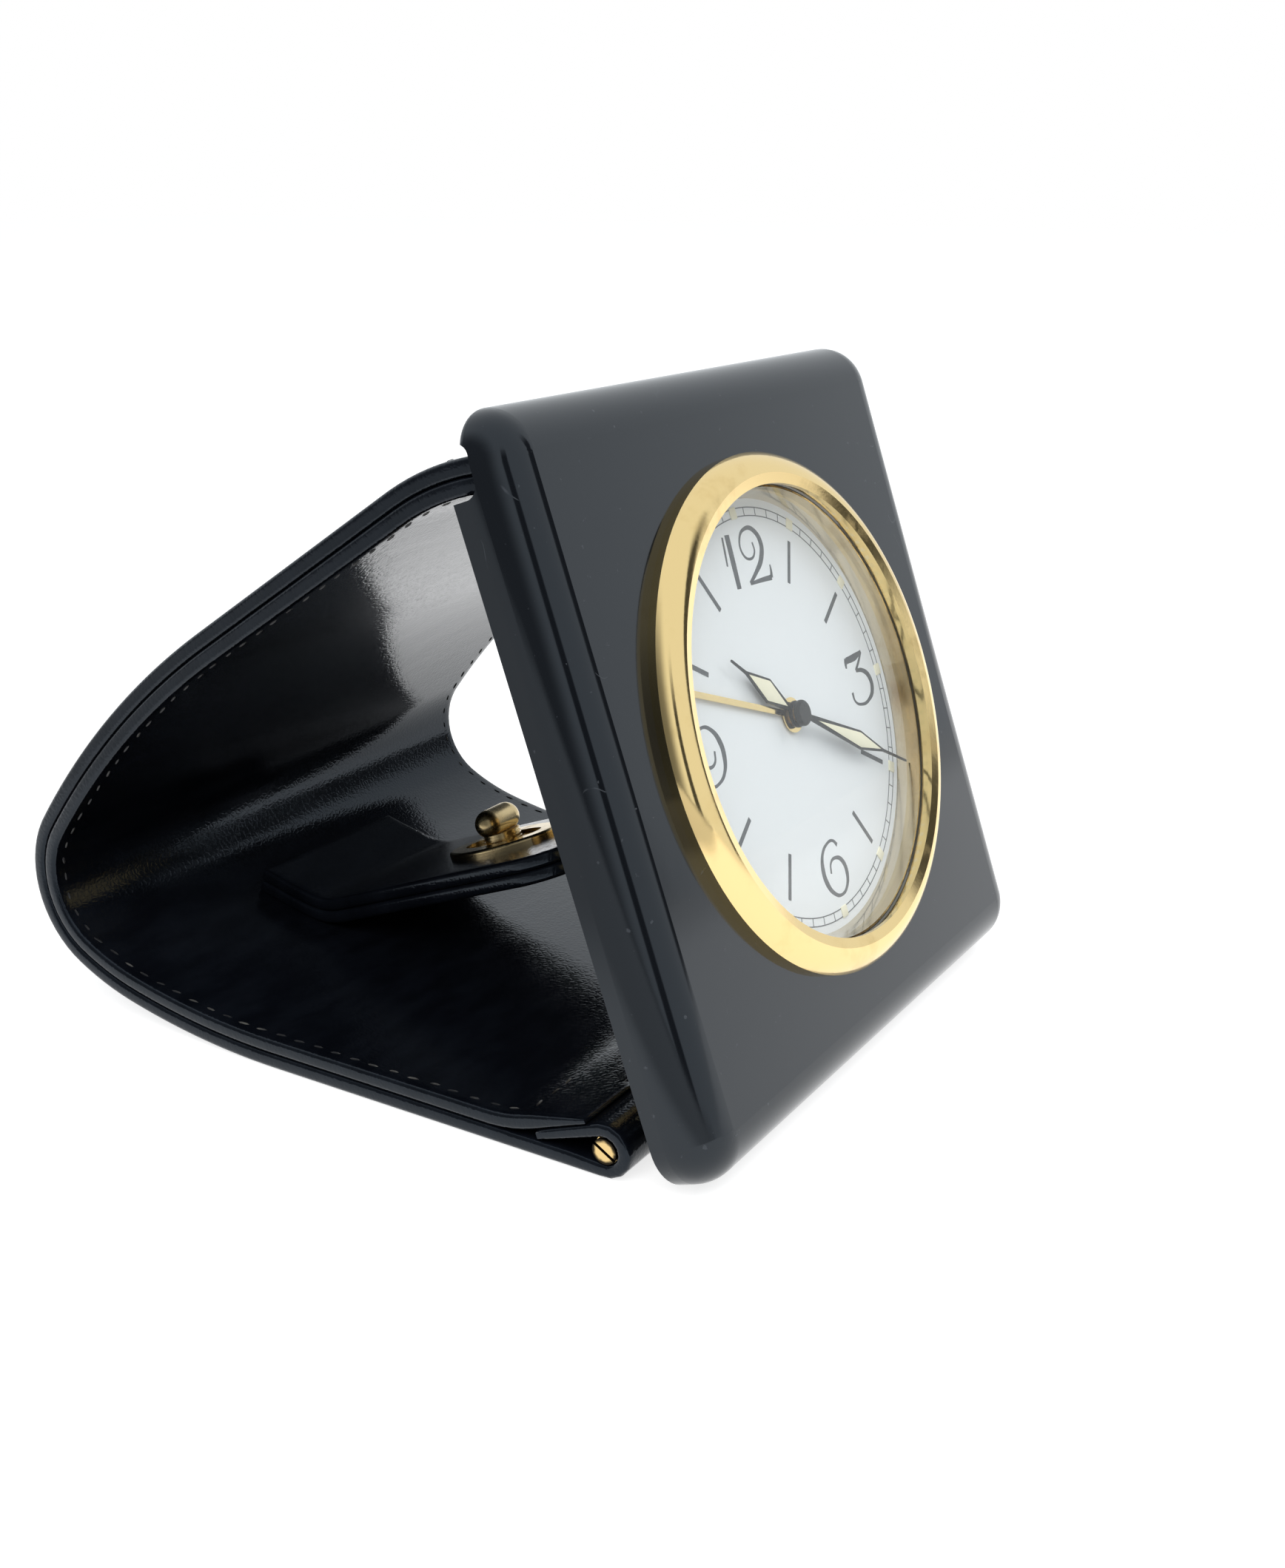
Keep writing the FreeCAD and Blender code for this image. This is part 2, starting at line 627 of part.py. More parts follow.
def pin_screws():
    """Slotted brass heads in the two ends of the pin."""
    heads = []
    for side, turn in ((-1, 40), (1, 115)):
        head = slotted_screw(PIN_HEAD_R, PIN_HEAD_T, 0.5, 0, 0.35)
        head.rotate(V(0, 0, 0), ALONG_Y, turn)
        head.rotate(V(0, 0, 0), V(0, 0, 1), -90 * side)
        head.translate(V(side * (BAND_HALF - PIN_HEAD_T - 0.1), PIN_Y, PIN_Z))
        heads.append(head)
    return Part.makeCompound(heads)


# ---------------------------------------------------------------- cover

def band(depth0, depth1, from_heading=None, to_heading=None):
    """Leather between two depths inside the outer line, cut square at two places.

    Without headings it starts under the pin and ends at the free end. A heading is a place in
    the back bend."""
    rows = []
    for depth in (depth0, depth1):
        line = []
        for piece in LINE:
            if piece[0] == "run":
                h = math.radians(piece[3])
                inward = (-math.sin(h) * depth, math.cos(h) * depth)
                line.append([(piece[1][0] + inward[0], piece[1][1] + inward[1]),
                             (piece[2][0] + inward[0], piece[2][1] + inward[1])])
            else:
                a0, a1 = piece[3], piece[4]
                if piece is BACK_BEND:
                    a0 = from_heading or a0
                    a1 = to_heading or a1
                line.append([on_line(piece, a, depth) for a in (a0, (a0 + a1) / 2, a1)])
        at = LINE.index(BACK_BEND)
        if from_heading:
            line = line[at:]
        if to_heading:
            line = line[:at + 1]
        rows.append(line)

    def place(p):
        return V(-BAND_HALF, p[0], p[1])

    edges = []
    for line in rows:
        for points in line:
            spots = [place(p) for p in points]
            edges.append(Part.Arc(*spots).toShape() if len(spots) == 3
                         else Part.LineSegment(*spots).toShape())
    for end in (0, -1):
        edges.append(Part.LineSegment(place(rows[0][end][end]), place(rows[1][end][end])).toShape())
    face = Part.Face(Part.Wire(Part.__sortEdges__(edges)))
    return face.extrude(V(2 * BAND_HALF, 0, 0))


def lug_notches():
    """Room in the folded leather for each lug, through the whole swing of the cover."""
    y, z = PIN_ROW
    room = LUG_W / 2 + LUG_GAP
    cuts = [box(s * LUG_X - room, s * LUG_X + room, y - 9, y + LUG_R + LUG_GAP + 0.4, -2, z + 7)
            for s in (-1, 1)]
    return cuts[0].fuse(cuts[1])


def tuck_line():
    """The folded end lies along the straight line that leaves the fold and meets its own tip."""
    y, z = PIN_ROW
    tip = (y + TUCK_END, SKIN_T + TUCK_T)
    reach = math.hypot(tip[0] - y, tip[1] - z)
    bearing = math.atan2(tip[1] - z, tip[0] - y) + math.acos(LOOP_R / reach)
    leave = (y + LOOP_R * math.cos(bearing), z + LOOP_R * math.sin(bearing))
    return leave, tip


def skin_lower():
    """Outer leather of the table run, folded forward round the tube and tucked back over itself."""
    y, z = PIN_ROW
    leave, tip = tuck_line()
    leather = band(0, SKIN_T, to_heading=OPEN_HEADING - split_deg())
    fold = bar_x(LOOP_R, -BAND_HALF, BAND_HALF, y, z)
    tuck = profile_x([(y, 0.4), leave, tip, (tip[0], SKIN_T - 0.1), (tip[0], 0.4)],
                     -BAND_HALF, BAND_HALF)
    leather = leather.fuse(fold).fuse(tuck)
    leather = leather.cut(bar_x(TUBE_R, -50, 50, y, z)).cut(lug_notches())
    return leather.removeSplitter()


def lining_lower():
    """Inner leather of the table run, skived thin where it climbs over the tucked end."""
    y, z = PIN_ROW
    leave, tip = tuck_line()
    leather = band(SKIN_T, SKIN_T + LINING_T, to_heading=OPEN_HEADING - split_deg())
    leather = leather.cut(box(-50, 50, y - 9, tip[0] + 1.6, -1, 20))
    slope = (tip[1] - leave[1]) / (tip[0] - leave[0])
    start = y + LINING_START
    under = leave[1] + slope * (start - leave[0])
    climb = profile_x([(tip[0] + 1.6, SKIN_T), tip, (start, under), (start, under + 0.6),
                       (y + 4.6, 5.15), (tip[0] + 1.6, SKIN_T + LINING_T)], -BAND_HALF, BAND_HALF)
    leather = leather.fuse(climb).removeSplitter()
    return leather.cut(lug_notches())


def split_deg():
    """Half of the gap between the two lengths of leather, as a turn of the back bend."""
    return math.degrees(SPLIT_GAP / 2 / BACK_BEND[2])


def round_nose(leather, depth, radius):
    """Round the corner at the free end, at a depth inside the outer line."""
    y, z = on_line(LINE[-1], LINE[-1][4], depth)
    return leather.makeFillet(radius, edges_along(
        leather, ALONG_X, lambda p: math.hypot(p.y - y, p.z - z) < 0.05))


def skin_upper():
    return round_nose(band(0, SKIN_T, from_heading=OPEN_HEADING + split_deg()), 0.0, NOSE_R)


def lining_upper():
    leather = band(SKIN_T, SKIN_T + LINING_T, from_heading=OPEN_HEADING + split_deg())
    return round_nose(leather, SKIN_T + LINING_T, 0.6)


def hinge_tube():
    """Brass tube inside the fold, turning on the pin between the lugs."""
    y, z = PIN_ROW
    end = BAND_HALF - PIN_HEAD_T - 0.2
    spans = [(-end, -LUG_X - LUG_W / 2 - 0.05), (-LUG_X + LUG_W / 2 + 0.05, LUG_X - LUG_W / 2 - 0.05),
             (LUG_X + LUG_W / 2 + 0.05, end)]
    tubes = [bar_x(TUBE_R, a, b, y, z).cut(bar_x(PIN_R + TUBE_GAP, a - 1, b + 1, y, z))
             for a, b in spans]
    return Part.makeCompound(tubes)


# ---------------------------------------------------------------- closing tab

SHELF = SKIN_T + LINING_T


def tab_bend():
    """Centre of the tab's bend, the heading where it leaves the lining, and its lining bend."""
    bend = LINE[1]
    (cy, cz), radius = bend[1], bend[2] - SHELF
    y = PIN_ROW[0] + TAB_LEAVES
    heading = math.degrees(math.asin((y - cy) / radius))
    y, z = on_line(bend, heading, SHELF)
    h = math.radians(heading)
    return (y - TAB_BEND_R * math.sin(h), z + TAB_BEND_R * math.cos(h)), heading


def tab_point(heading, depth):
    """A point of the tab's bend, at a depth above its underside."""
    (cy, cz), _ = tab_bend()
    h = math.radians(heading)
    radius = TAB_BEND_R - depth
    return cy + radius * math.sin(h), cz - radius * math.cos(h)


def tab_leather(depth0, depth1):
    """One leather of the flap, from the lining to a rounded tip."""
    _, leaves = tab_bend()
    start = leaves - 1.0
    rise = math.radians(TAB_RISE_DEG)
    ends = []
    for depth in (depth0, depth1):
        y, z = tab_point(-TAB_RISE_DEG, depth)
        ends.append((y - TAB_FLAT * math.cos(rise), z + TAB_FLAT * math.sin(rise)))
    middle = (start - TAB_RISE_DEG) / 2
    outline = [tab_point(start, depth0), (tab_point(middle, depth0), tab_point(-TAB_RISE_DEG, depth0)),
               ends[0], ends[1], tab_point(-TAB_RISE_DEG, depth1),
               (tab_point(middle, depth1), tab_point(start, depth1))]
    leather = profile_x(outline, -TAB_HALF, TAB_HALF)
    square = V(0, math.sin(rise), math.cos(rise))
    tip = edges_along(leather, square, lambda p: abs(p.x) > TAB_HALF - 0.1 and p.y < ends[0][0] + 2)
    return leather.makeFillet(TAB_TIP_R, tip)


def tab_root():
    """The tab's end, both leathers, sewn down on the lining."""
    (cy, cz), leaves = tab_bend()
    leather = band(SHELF, SHELF + 2 * TAB_T, to_heading=OPEN_HEADING)
    y0, y1 = PIN_ROW[0] + TAB_LEAVES, PIN_ROW[0] + TAB_LEAVES + TAB_SEWN
    return leather.common(box(-TAB_HALF, TAB_HALF, y0 + 0.15, y1, 0, 20))


TAB_HINGE = tab_point(tab_bend()[1] - 0.5, 2 * TAB_T)


def on_tab(shape):
    """Seat a shape drawn on the tab: its Z 0 on the leather, Y towards the root, X across."""
    y, z = tab_point(-TAB_RISE_DEG, 2 * TAB_T)
    rise = math.radians(TAB_RISE_DEG)
    shape.rotate(V(0, 0, 0), ALONG_X, -TAB_RISE_DEG)
    shape.translate(V(0, y - EYELET_AT * math.cos(rise), z + EYELET_AT * math.sin(rise)))
    return shape


def oval(length, width, z0, z1):
    """An oval of four arcs with its length along Y: round ends joined by slack sides."""
    end_r = width * 0.36
    half_l, half_w = length / 2, width / 2
    # side arc's radius, from touching both the widest point and the two end arcs
    gap = half_l - end_r
    side_r = (gap ** 2 + half_w ** 2 - end_r ** 2) / (2 * (half_w - end_r))
    lean_in = math.atan2(gap, side_r - half_w)
    join = [V(sx * end_r * math.cos(lean_in), sy * (gap + end_r * math.sin(lean_in)), z0)
            for sx, sy in ((1, 1), (-1, 1), (-1, -1), (1, -1))]
    face = face_of([join[0], (V(0, half_l, z0), join[1]), (V(-half_w, 0, z0), join[2]),
                    (V(0, -half_l, z0), join[3]), (V(half_w, 0, z0), join[0])])
    return face.extrude(V(0, 0, z1 - z0))


def eyelet_plate():
    """Gilt oval plate round the lock's opening."""
    plate = oval(EYELET_LONG, EYELET_WIDE, 0, EYELET_T)
    plate = plate.makeFillet(0.4, [e for e in plate.Edges if e.BoundBox.ZMin > EYELET_T - 0.01])
    return on_tab(plate.cut(oval(EYELET_LONG - 4.6, EYELET_WIDE - 4.6, -1, EYELET_T + 1)))


def lock_post():
    """Foot and ribbed neck of the twist lock, inside the oval plate."""
    foot = oval(EYELET_LONG - 5.4, EYELET_WIDE - 5.4, 0, 0.35)
    post = Part.makeCylinder(STUD_R, STUD_H, V(0, 0, 0))
    for z in (0.55, 0.95, 1.35):
        groove = Part.makeCylinder(STUD_R + 1, 0.15, V(0, 0, z)).cut(
            Part.makeCylinder(STUD_R - 0.15, 0.15, V(0, 0, z)))
        post = post.cut(groove)
    return on_tab(foot.fuse(post).removeSplitter())


def turn_bar():
    """Bar of the twist lock, lying across the oval, with domed ends."""
    half = BAR_LENGTH / 2 - BAR_R
    z = STUD_H + 0.05 + BAR_R * 0.8
    bar = bar_x(BAR_R, -half, half, 0, z)
    for side in (-1, 1):
        bar = bar.fuse(Part.makeSphere(BAR_R, V(side * half, 0, z)))
    bar = bar.removeSplitter().cut(box(-10, 10, -10, 10, -1, STUD_H + 0.05))
    return on_tab(bar)


# ---------------------------------------------------------------- the whole clock

CASE_NODES = {
    "case_body": case_body, "back_plate": back_plate, "bezel": bezel, "crystal": crystal,
    "crystal_gasket": gasket, "reflector_ring": reflector, "dial": dial,
    "alarm_hand": alarm_hand, "hour_hand": hour_hand, "minute_hand": minute_hand,
    "hand_cap": hand_cap, "movement_plate": movement_plate, "movement_housing": movement_housing,
    "cannon_wheel": cannon_wheel, "minute_wheel": minute_wheel, "hour_wheel": hour_wheel,
    "alarm_wheel": alarm_wheel, "circuit_board": circuit_board, "motor_coil": coil,
    "cell": cell, "cell_contact": cell_contact, "sounder": sounder,
    "back_cover": back_cover, "back_screws": back_screws, "battery_hatch": battery_hatch,
    "time_knob": lambda: set_knob(TIME_KNOB_BEARING, TIME_PINION_TEETH, CANNON_TEETH, CANNON_Y),
    "alarm_knob": lambda: set_knob(ALARM_KNOB_BEARING, ALARM_PINION_TEETH, ALARM_TEETH,
                                   ALARM_WHEEL_Y),
    "alarm_switch": alarm_switch,
    "hinge_lugs": hinge_lugs, "lug_screws": lug_screws, "hinge_pin": hinge_pin,
    "pin_screws": pin_screws,
}
COVER_NODES = {
    "skin_lower": skin_lower, "lining_lower": lining_lower,
    "skin_upper": skin_upper, "lining_upper": lining_upper, "hinge_tube": hinge_tube,
    "tab_root": tab_root, "tab_under": lambda: tab_leather(0, TAB_T),
    "tab_top": lambda: tab_leather(TAB_T, 2 * TAB_T),
    "eyelet_plate": eyelet_plate, "lock_post": lock_post, "turn_bar": turn_bar,
}

NODES = {node: lean(make()) for node, make in CASE_NODES.items()}
NODES.update({node: make() for node, make in COVER_NODES.items()})

# The row's origin goes under the middle of the whole clock.
MIDDLE_Y = (NODES["bezel"].optimalBoundingBox().YMin
            + NODES["skin_upper"].optimalBoundingBox().YMax) / 2

os.makedirs("parts", exist_ok=True)
for node, shape in NODES.items():
    if len(shape.Solids) == 1:
        shape = NODES[node] = shape.Solids[0]
    shape.translate(V(0, -MIDDLE_Y, 0))
    shape.exportStep("parts/%s.step" % node)
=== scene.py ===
import bmesh
import bpy
import json
import math
import random
from mathutils import Matrix, Vector


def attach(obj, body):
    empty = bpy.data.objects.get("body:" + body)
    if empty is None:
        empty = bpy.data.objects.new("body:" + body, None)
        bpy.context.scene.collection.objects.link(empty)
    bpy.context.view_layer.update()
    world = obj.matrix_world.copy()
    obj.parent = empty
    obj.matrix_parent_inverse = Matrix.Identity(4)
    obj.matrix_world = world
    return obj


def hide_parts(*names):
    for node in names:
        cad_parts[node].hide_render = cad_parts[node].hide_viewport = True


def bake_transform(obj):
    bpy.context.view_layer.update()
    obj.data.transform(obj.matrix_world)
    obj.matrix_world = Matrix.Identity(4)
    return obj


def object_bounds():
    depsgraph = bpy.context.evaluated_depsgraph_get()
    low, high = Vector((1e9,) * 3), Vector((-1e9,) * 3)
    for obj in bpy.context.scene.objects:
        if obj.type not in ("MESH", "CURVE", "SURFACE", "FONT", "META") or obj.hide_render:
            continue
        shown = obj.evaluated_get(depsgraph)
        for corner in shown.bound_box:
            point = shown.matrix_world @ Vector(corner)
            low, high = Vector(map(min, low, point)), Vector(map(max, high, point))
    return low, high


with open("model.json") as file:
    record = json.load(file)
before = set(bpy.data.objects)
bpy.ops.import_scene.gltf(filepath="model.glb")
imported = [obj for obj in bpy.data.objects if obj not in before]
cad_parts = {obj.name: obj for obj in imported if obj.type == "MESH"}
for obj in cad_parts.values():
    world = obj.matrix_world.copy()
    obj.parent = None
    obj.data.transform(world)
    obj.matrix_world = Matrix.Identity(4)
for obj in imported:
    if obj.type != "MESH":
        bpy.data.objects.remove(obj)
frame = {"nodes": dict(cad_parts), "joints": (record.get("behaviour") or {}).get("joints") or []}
cad_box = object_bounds()

# A folding travel alarm clock: a square black-lacquered case that leans back on its own looped
# leather cover. Pieces are drawn in millimetres, in the case's own frame (X right, Y into the
# case, Z up the dial, from a point on the dial's axis 0.6 mm behind the case's face) or in the row
# frame, and their place is then written into their mesh in metres.


# ------------------------------------------------------------------ the room
# A pale table that runs into a white room with two dark curtains, a camera on the clock's left,
# a wide soft lamp high on the left and a weaker one on the right.

MM = Matrix.Scale(0.001, 4)
joints = {joint["name"]: joint for joint in frame["joints"]}
DIAL_CENTRE = Vector(joints["minute_turn"]["pos_m"])
INTO_CASE = Vector(joints["minute_turn"]["axis"]).normalized()
UP_DIAL = Vector((1, 0, 0)).cross(INTO_CASE)
CASE_FRAME = Matrix.Translation(DIAL_CENTRE) @ Matrix(
    ((1, INTO_CASE.x, UP_DIAL.x), (0, INTO_CASE.y, UP_DIAL.y), (0, INTO_CASE.z, UP_DIAL.z))
).to_4x4() @ MM

CAMERA_FROM_DIAL = Vector((-0.1629, -0.0812, 0.0539))
LOOKS_ALONG = Vector((0.8054, 0.4973, -0.3224)).normalized()
LENS_MM = 41.15

camera = bpy.data.objects.new("camera", bpy.data.cameras.new("camera"))
camera.data.lens = LENS_MM
camera.data.sensor_width = 36
camera.data.clip_start = 0.005
camera_right = LOOKS_ALONG.cross((0, 0, 1)).normalized()
camera_up = camera_right.cross(LOOKS_ALONG)
camera.matrix_world = Matrix.Translation(DIAL_CENTRE + CAMERA_FROM_DIAL) @ Matrix(
    (camera_right, camera_up, -LOOKS_ALONG)).transposed().to_4x4()
bpy.context.scene.collection.objects.link(camera)
bpy.context.scene.camera = camera

bpy.context.scene.view_settings.view_transform = "Standard"


class Value:
    """A socket of a material. Python's operators on it add Math nodes."""

    def __init__(self, finish, socket):
        self.finish, self.socket = finish, socket

    def math(self, operation, *others):
        return self.finish.node("ShaderNodeMath", {"operation": operation},
                                dict(enumerate((self,) + others)))

    def __add__(self, other):
        return self.math("ADD", other)

    def __radd__(self, other):
        return self.math("ADD", other)

    def __sub__(self, other):
        return self.math("SUBTRACT", other)

    def __rsub__(self, other):
        return (self * -1.0).math("ADD", other)

    def __mul__(self, other):
        return self.math("MULTIPLY", other)

    def __rmul__(self, other):
        return self.math("MULTIPLY", other)

    def between(self, low, high):
        """0 below low, 1 above high, smooth between."""
        return self.finish.node("ShaderNodeMapRange", {"interpolation_type": "SMOOTHSTEP"},
                                {"Value": self, "From Min": low, "From Max": high})


class Finish:
    """A node tree that is being mixed: a material's, or the world's."""

    def __init__(self, name=None, world=None, **shader):
        self.material = world or bpy.data.materials.new(name)
        self.material.use_nodes = True
        self.tree = self.material.node_tree
        self.tree.nodes.clear()
        self.output = self.tree.nodes.new(
            "ShaderNodeOutputWorld" if world else "ShaderNodeOutputMaterial")
        if shader:
            self.shader = self.node("ShaderNodeBsdfPrincipled", {}, shader)
            self.shows(self.shader)

    def node(self, kind, settings=None, inputs=None, output=0):
        made = self.tree.nodes.new(kind)
        for key, value in (settings or {}).items():
            setattr(made, key, value)
        self.set(made, inputs or {})
        return Value(self, made.outputs[output])

    def set(self, made, inputs):
        for key, value in inputs.items():
            socket = made.inputs[key.replace("_", " ") if isinstance(key, str) else key]
            if isinstance(value, Value):
                self.tree.links.new(value.socket, socket)
            elif hasattr(value, "__len__") and len(value) == 3 and socket.type == "RGBA":
                socket.default_value = (*value, 1.0)
            else:
                socket.default_value = value

    def change(self, **inputs):
        """Set or link sockets of the main shader."""
        self.set(self.shader.socket.node, inputs)

    def shows(self, shader):
        self.tree.links.new(shader.socket, self.output.inputs["Surface"])

    def place(self):
        return self.node("ShaderNodeTexCoord", output="Object")

    def flat(self):
        """The piece's own flat lengths: across in U, along in V, in metres."""
        return self.node("ShaderNodeUVMap", {"uv_map": "flat"})

    def noise(self, where, scale, detail=2.0, roughness=0.5, stretch=(1, 1, 1)):
        if stretch != (1, 1, 1):
            where = self.node("ShaderNodeMapping", {}, {"Vector": where, "Scale": stretch})
        return self.node("ShaderNodeTexNoise", {}, {
            "Vector": where, "Scale": scale, "Detail": detail, "Roughness": roughness})

    def mix(self, factor, a, b):
        """A colour between a and b."""
        return self.node("ShaderNodeMix", {"data_type": "RGBA"}, {0: factor, 6: a, 7: b}, output=2)

    def bump(self, height, distance, strength=1.0, over=None):
        inputs = {"Height": height, "Distance": distance, "Strength": strength}
        if over:
            inputs["Normal"] = over
        return self.node("ShaderNodeBump", {}, inputs)


TABLE_COLOUR = (0.42, 0.42, 0.42)
TABLE_GLOW = 0.78          # what the table shows of the white room, on top of its own colour
ROOM_TINT = (0.93, 0.97, 1.0)
ROOM_LIGHT = 0.55
ROOM_DIM_SIDE = Vector((-0.96, 0.26, 0.1)).normalized()
ROOM_DIM = 0.80            # the room's left is this much darker
CURTAINS = ((40, 52), (-31, -18))      # dark curtains, in degrees to the right of the clock's front
CURTAIN_DIM = 0.93
EASE = 1.5                 # degrees over which their edges fade
CURTAIN_TOP = (0.45, 0.75)             # the height of a direction over which they fade upwards
TABLE_DIM = 0.8            # the table's left is this much darker in a reflection
TABLE_DIM_FROM, TABLE_DIM_TO = -0.065, -0.10       # across the table, in metres

world = bpy.data.worlds.new("room")
bpy.context.scene.world = world
room = Finish(world=world)
to_eye = room.node("ShaderNodeLightPath", output="Is Camera Ray")
mirrored = (room.node("ShaderNodeLightPath", output="Is Glossy Ray")
            + room.node("ShaderNodeLightPath", output="Is Transmission Ray"))
seen = (to_eye + mirrored).math("MINIMUM", 1.0)
direction = room.node("ShaderNodeTexCoord", output="Generated")
towards_dim = room.node("ShaderNodeVectorMath", {"operation": "DOT_PRODUCT"}, {
    0: direction, 1: ROOM_DIM_SIDE}, output="Value")
across, ahead, above = (room.node("ShaderNodeSeparateXYZ", {}, {"Vector": direction}, output=i)
                        for i in range(3))
bearing = across.math("ARCTAN2", ahead * -1.0)


def curtain(limits):
    """1 between two bearings, where the room isn't overhead."""
    low, high = (math.radians(d) for d in limits)
    ease = math.radians(EASE)
    return (bearing.between(low - ease, low + ease) * (1.0 - bearing.between(high - ease, high + ease))
            * (1.0 - above.between(*CURTAIN_TOP)))


dim = towards_dim.between(0.35, 0.8) * ROOM_DIM
for limits in CURTAINS:
    dim = dim.math("MAXIMUM", curtain(limits) * CURTAIN_DIM)
backdrop = 1.0 - dim * (1.0 - to_eye)
room.shows(room.node("ShaderNodeBackground", {}, {
    "Color": room.mix(to_eye, ROOM_TINT, (1, 1, 1)),
    "Strength": seen * (backdrop - ROOM_LIGHT) + ROOM_LIGHT}))

table = bpy.data.objects.new("table", bpy.data.meshes.new("table"))
bm = bmesh.new()
bmesh.ops.create_grid(bm, x_segments=1, y_segments=1, size=3.0)
bm.to_mesh(table.data)
bm.free()
table.location.z = cad_box[0][2] - 0.00005
bpy.context.scene.collection.objects.link(table)
pale = Finish("table_pale")
seen = [pale.node("ShaderNodeLightPath", output=kind)
        for kind in ("Is Camera Ray", "Is Glossy Ray", "Is Transmission Ray")]
left = pale.node("ShaderNodeSeparateXYZ", {}, {"Vector": pale.place()})
left = 1.0 - left.between(TABLE_DIM_TO, TABLE_DIM_FROM)
shown = (seen[0] + (seen[1] + seen[2]) * (1.0 - left * TABLE_DIM)).math("MINIMUM", 1.0)
pale.shows(pale.node("ShaderNodeAddShader", {}, {
    0: pale.node("ShaderNodeBsdfDiffuse", {}, {"Color": TABLE_COLOUR}),
    1: pale.node("ShaderNodeEmission", {}, {"Color": (1, 1, 1), "Strength": shown * TABLE_GLOW})}))
table.data.materials.append(pale.material)


def lamp(name, place, towards, size, watts):
    light = bpy.data.lights.new(name, "AREA")
    light.shape, light.size, light.size_y, light.energy = "RECTANGLE", size[0], size[1], watts
    holder = bpy.data.objects.new(name, light)
    place, towards = Vector(place), Vector(towards)
    holder.matrix_world = Matrix.Translation(place) @ (
        (towards - place).to_track_quat("-Z", "Y").to_matrix().to_4x4())
    holder.visible_glossy = False      # the room is what shines in lacquer and gilt, not the lamps
    bpy.context.scene.collection.objects.link(holder)


lamp("softbox_left", (-0.55, -0.25, 0.80), (0, 0, 0.03), (0.9, 0.7), 9)
lamp("softbox_right", (0.7, -0.35, 0.6), (0, 0, 0.03), (0.6, 0.6), 4)


# ------------------------------------------------------------------ case
# The case is one brass plate under black lacquer, rubbed down and polished between coats, with a
# thinner plate of the same let into its back. The lacquer is smooth but for dust and small rubs.

def dress(finish, *nodes):
    """Give CAD nodes a finish."""
    for node in nodes:
        mesh = frame["nodes"][node].data
        mesh.materials.clear()
        mesh.materials.append(finish.material)


lacquer = Finish("black_lacquer", Base_Color=(0.004, 0.0048, 0.0065), Roughness=0.1,
                 Specular_Tint=(0.80, 0.90, 1.0))
place = lacquer.place()
cloud = lacquer.noise(place, 60, detail=4)
dust = lacquer.noise(place, 1300, detail=3).between(0.71, 0.75)
wander = lacquer.node("ShaderNodeVectorMath", {"operation": "MULTIPLY_ADD"}, {
    0: lacquer.node("ShaderNodeTexNoise", {}, {"Vector": place, "Scale": 130.0}, output="Color"),
    1: (0.009, 0.009, 0.009), 2: place})
lines = lacquer.node("ShaderNodeTexVoronoi", {"feature": "DISTANCE_TO_EDGE"},
                     {"Vector": wander, "Scale": 95.0})
hairs = (1.0 - lines.between(0.002, 0.006)) * lacquer.noise(place, 260).between(0.64, 0.69)
marks = (dust + hairs).math("MINIMUM", 1.0)
lacquer.change(
    Base_Color=lacquer.mix(marks * 0.6, (0.004, 0.0048, 0.0065), (0.05, 0.054, 0.062)),
    Roughness=cloud * 0.07 + 0.045 + marks * 0.2,
    Normal=lacquer.bump(lacquer.noise(place, 420, detail=2), 0.000008, 0.3))
dress(lacquer, "case_body", "back_plate")


# ------------------------------------------------------------------ bezel, crystal and reflector
# Turned brass, gilded and polished: the bezel holds a flat mineral glass on a thin gasket, over
# a sloping gilt ring that throws light onto the dial's edge.

def gilding(name, roughness, tone=(0.87, 0.66, 0.31), wear=0.4):
    """Polished gilt, with fine turning marks, and duller where it has thinned."""
    gilt = Finish(name, Base_Color=tone, Metallic=1.0, Roughness=roughness)
    where = gilt.place()
    worn = gilt.noise(where, 190, detail=5, roughness=0.6).between(0.52, 0.72)
    fine = gilt.noise(where, 2600, detail=2)
    thinner = tuple(c * k for c, k in zip(tone, (0.85, 0.78, 0.66)))
    gilt.change(Base_Color=gilt.mix(worn * wear, tone, thinner),
                Roughness=worn * 0.12 + fine * 0.05 + (roughness - 0.03),
                Normal=gilt.bump(fine, 0.000004, 0.35))
    return gilt


polished_gilt = gilding("polished_gilt", 0.10)
dress(polished_gilt, "bezel")
ring_gilt = gilding("ring_gilt", 0.12, tone=(0.62, 0.54, 0.40))
dress(ring_gilt, "reflector_ring")

rubber = Finish("gasket_rubber", Base_Color=(0.03, 0.03, 0.03), Roughness=0.6)
rubber.change(Roughness=rubber.noise(rubber.place(), 700) * 0.2 + 0.5)
dress(rubber, "crystal_gasket")

crystal = Finish("crystal")
haze = crystal.noise(crystal.place(), 130, detail=5).between(0.5, 0.8)
crystal.shows(crystal.node("ShaderNodeMixShader", {}, {
    0: crystal.node("ShaderNodeFresnel", {}, {"IOR": 1.5}) * 0.12 + haze * 0.004,
    1: crystal.node("ShaderNodeBsdfTransparent", {}, {"Color": (0.985, 0.99, 0.985)}),
    2: crystal.node("ShaderNodeBsdfGlossy", {}, {"Color": (1, 1, 1), "Roughness": 0.03})}))
dress(crystal, "crystal")


# ------------------------------------------------------------------ dial
# A thin brass disc, silvered and lacquered a cool white. Its numerals, bars and minute track are
# printed in grey black ink that stands a little proud, and the hours carry luminous squares.

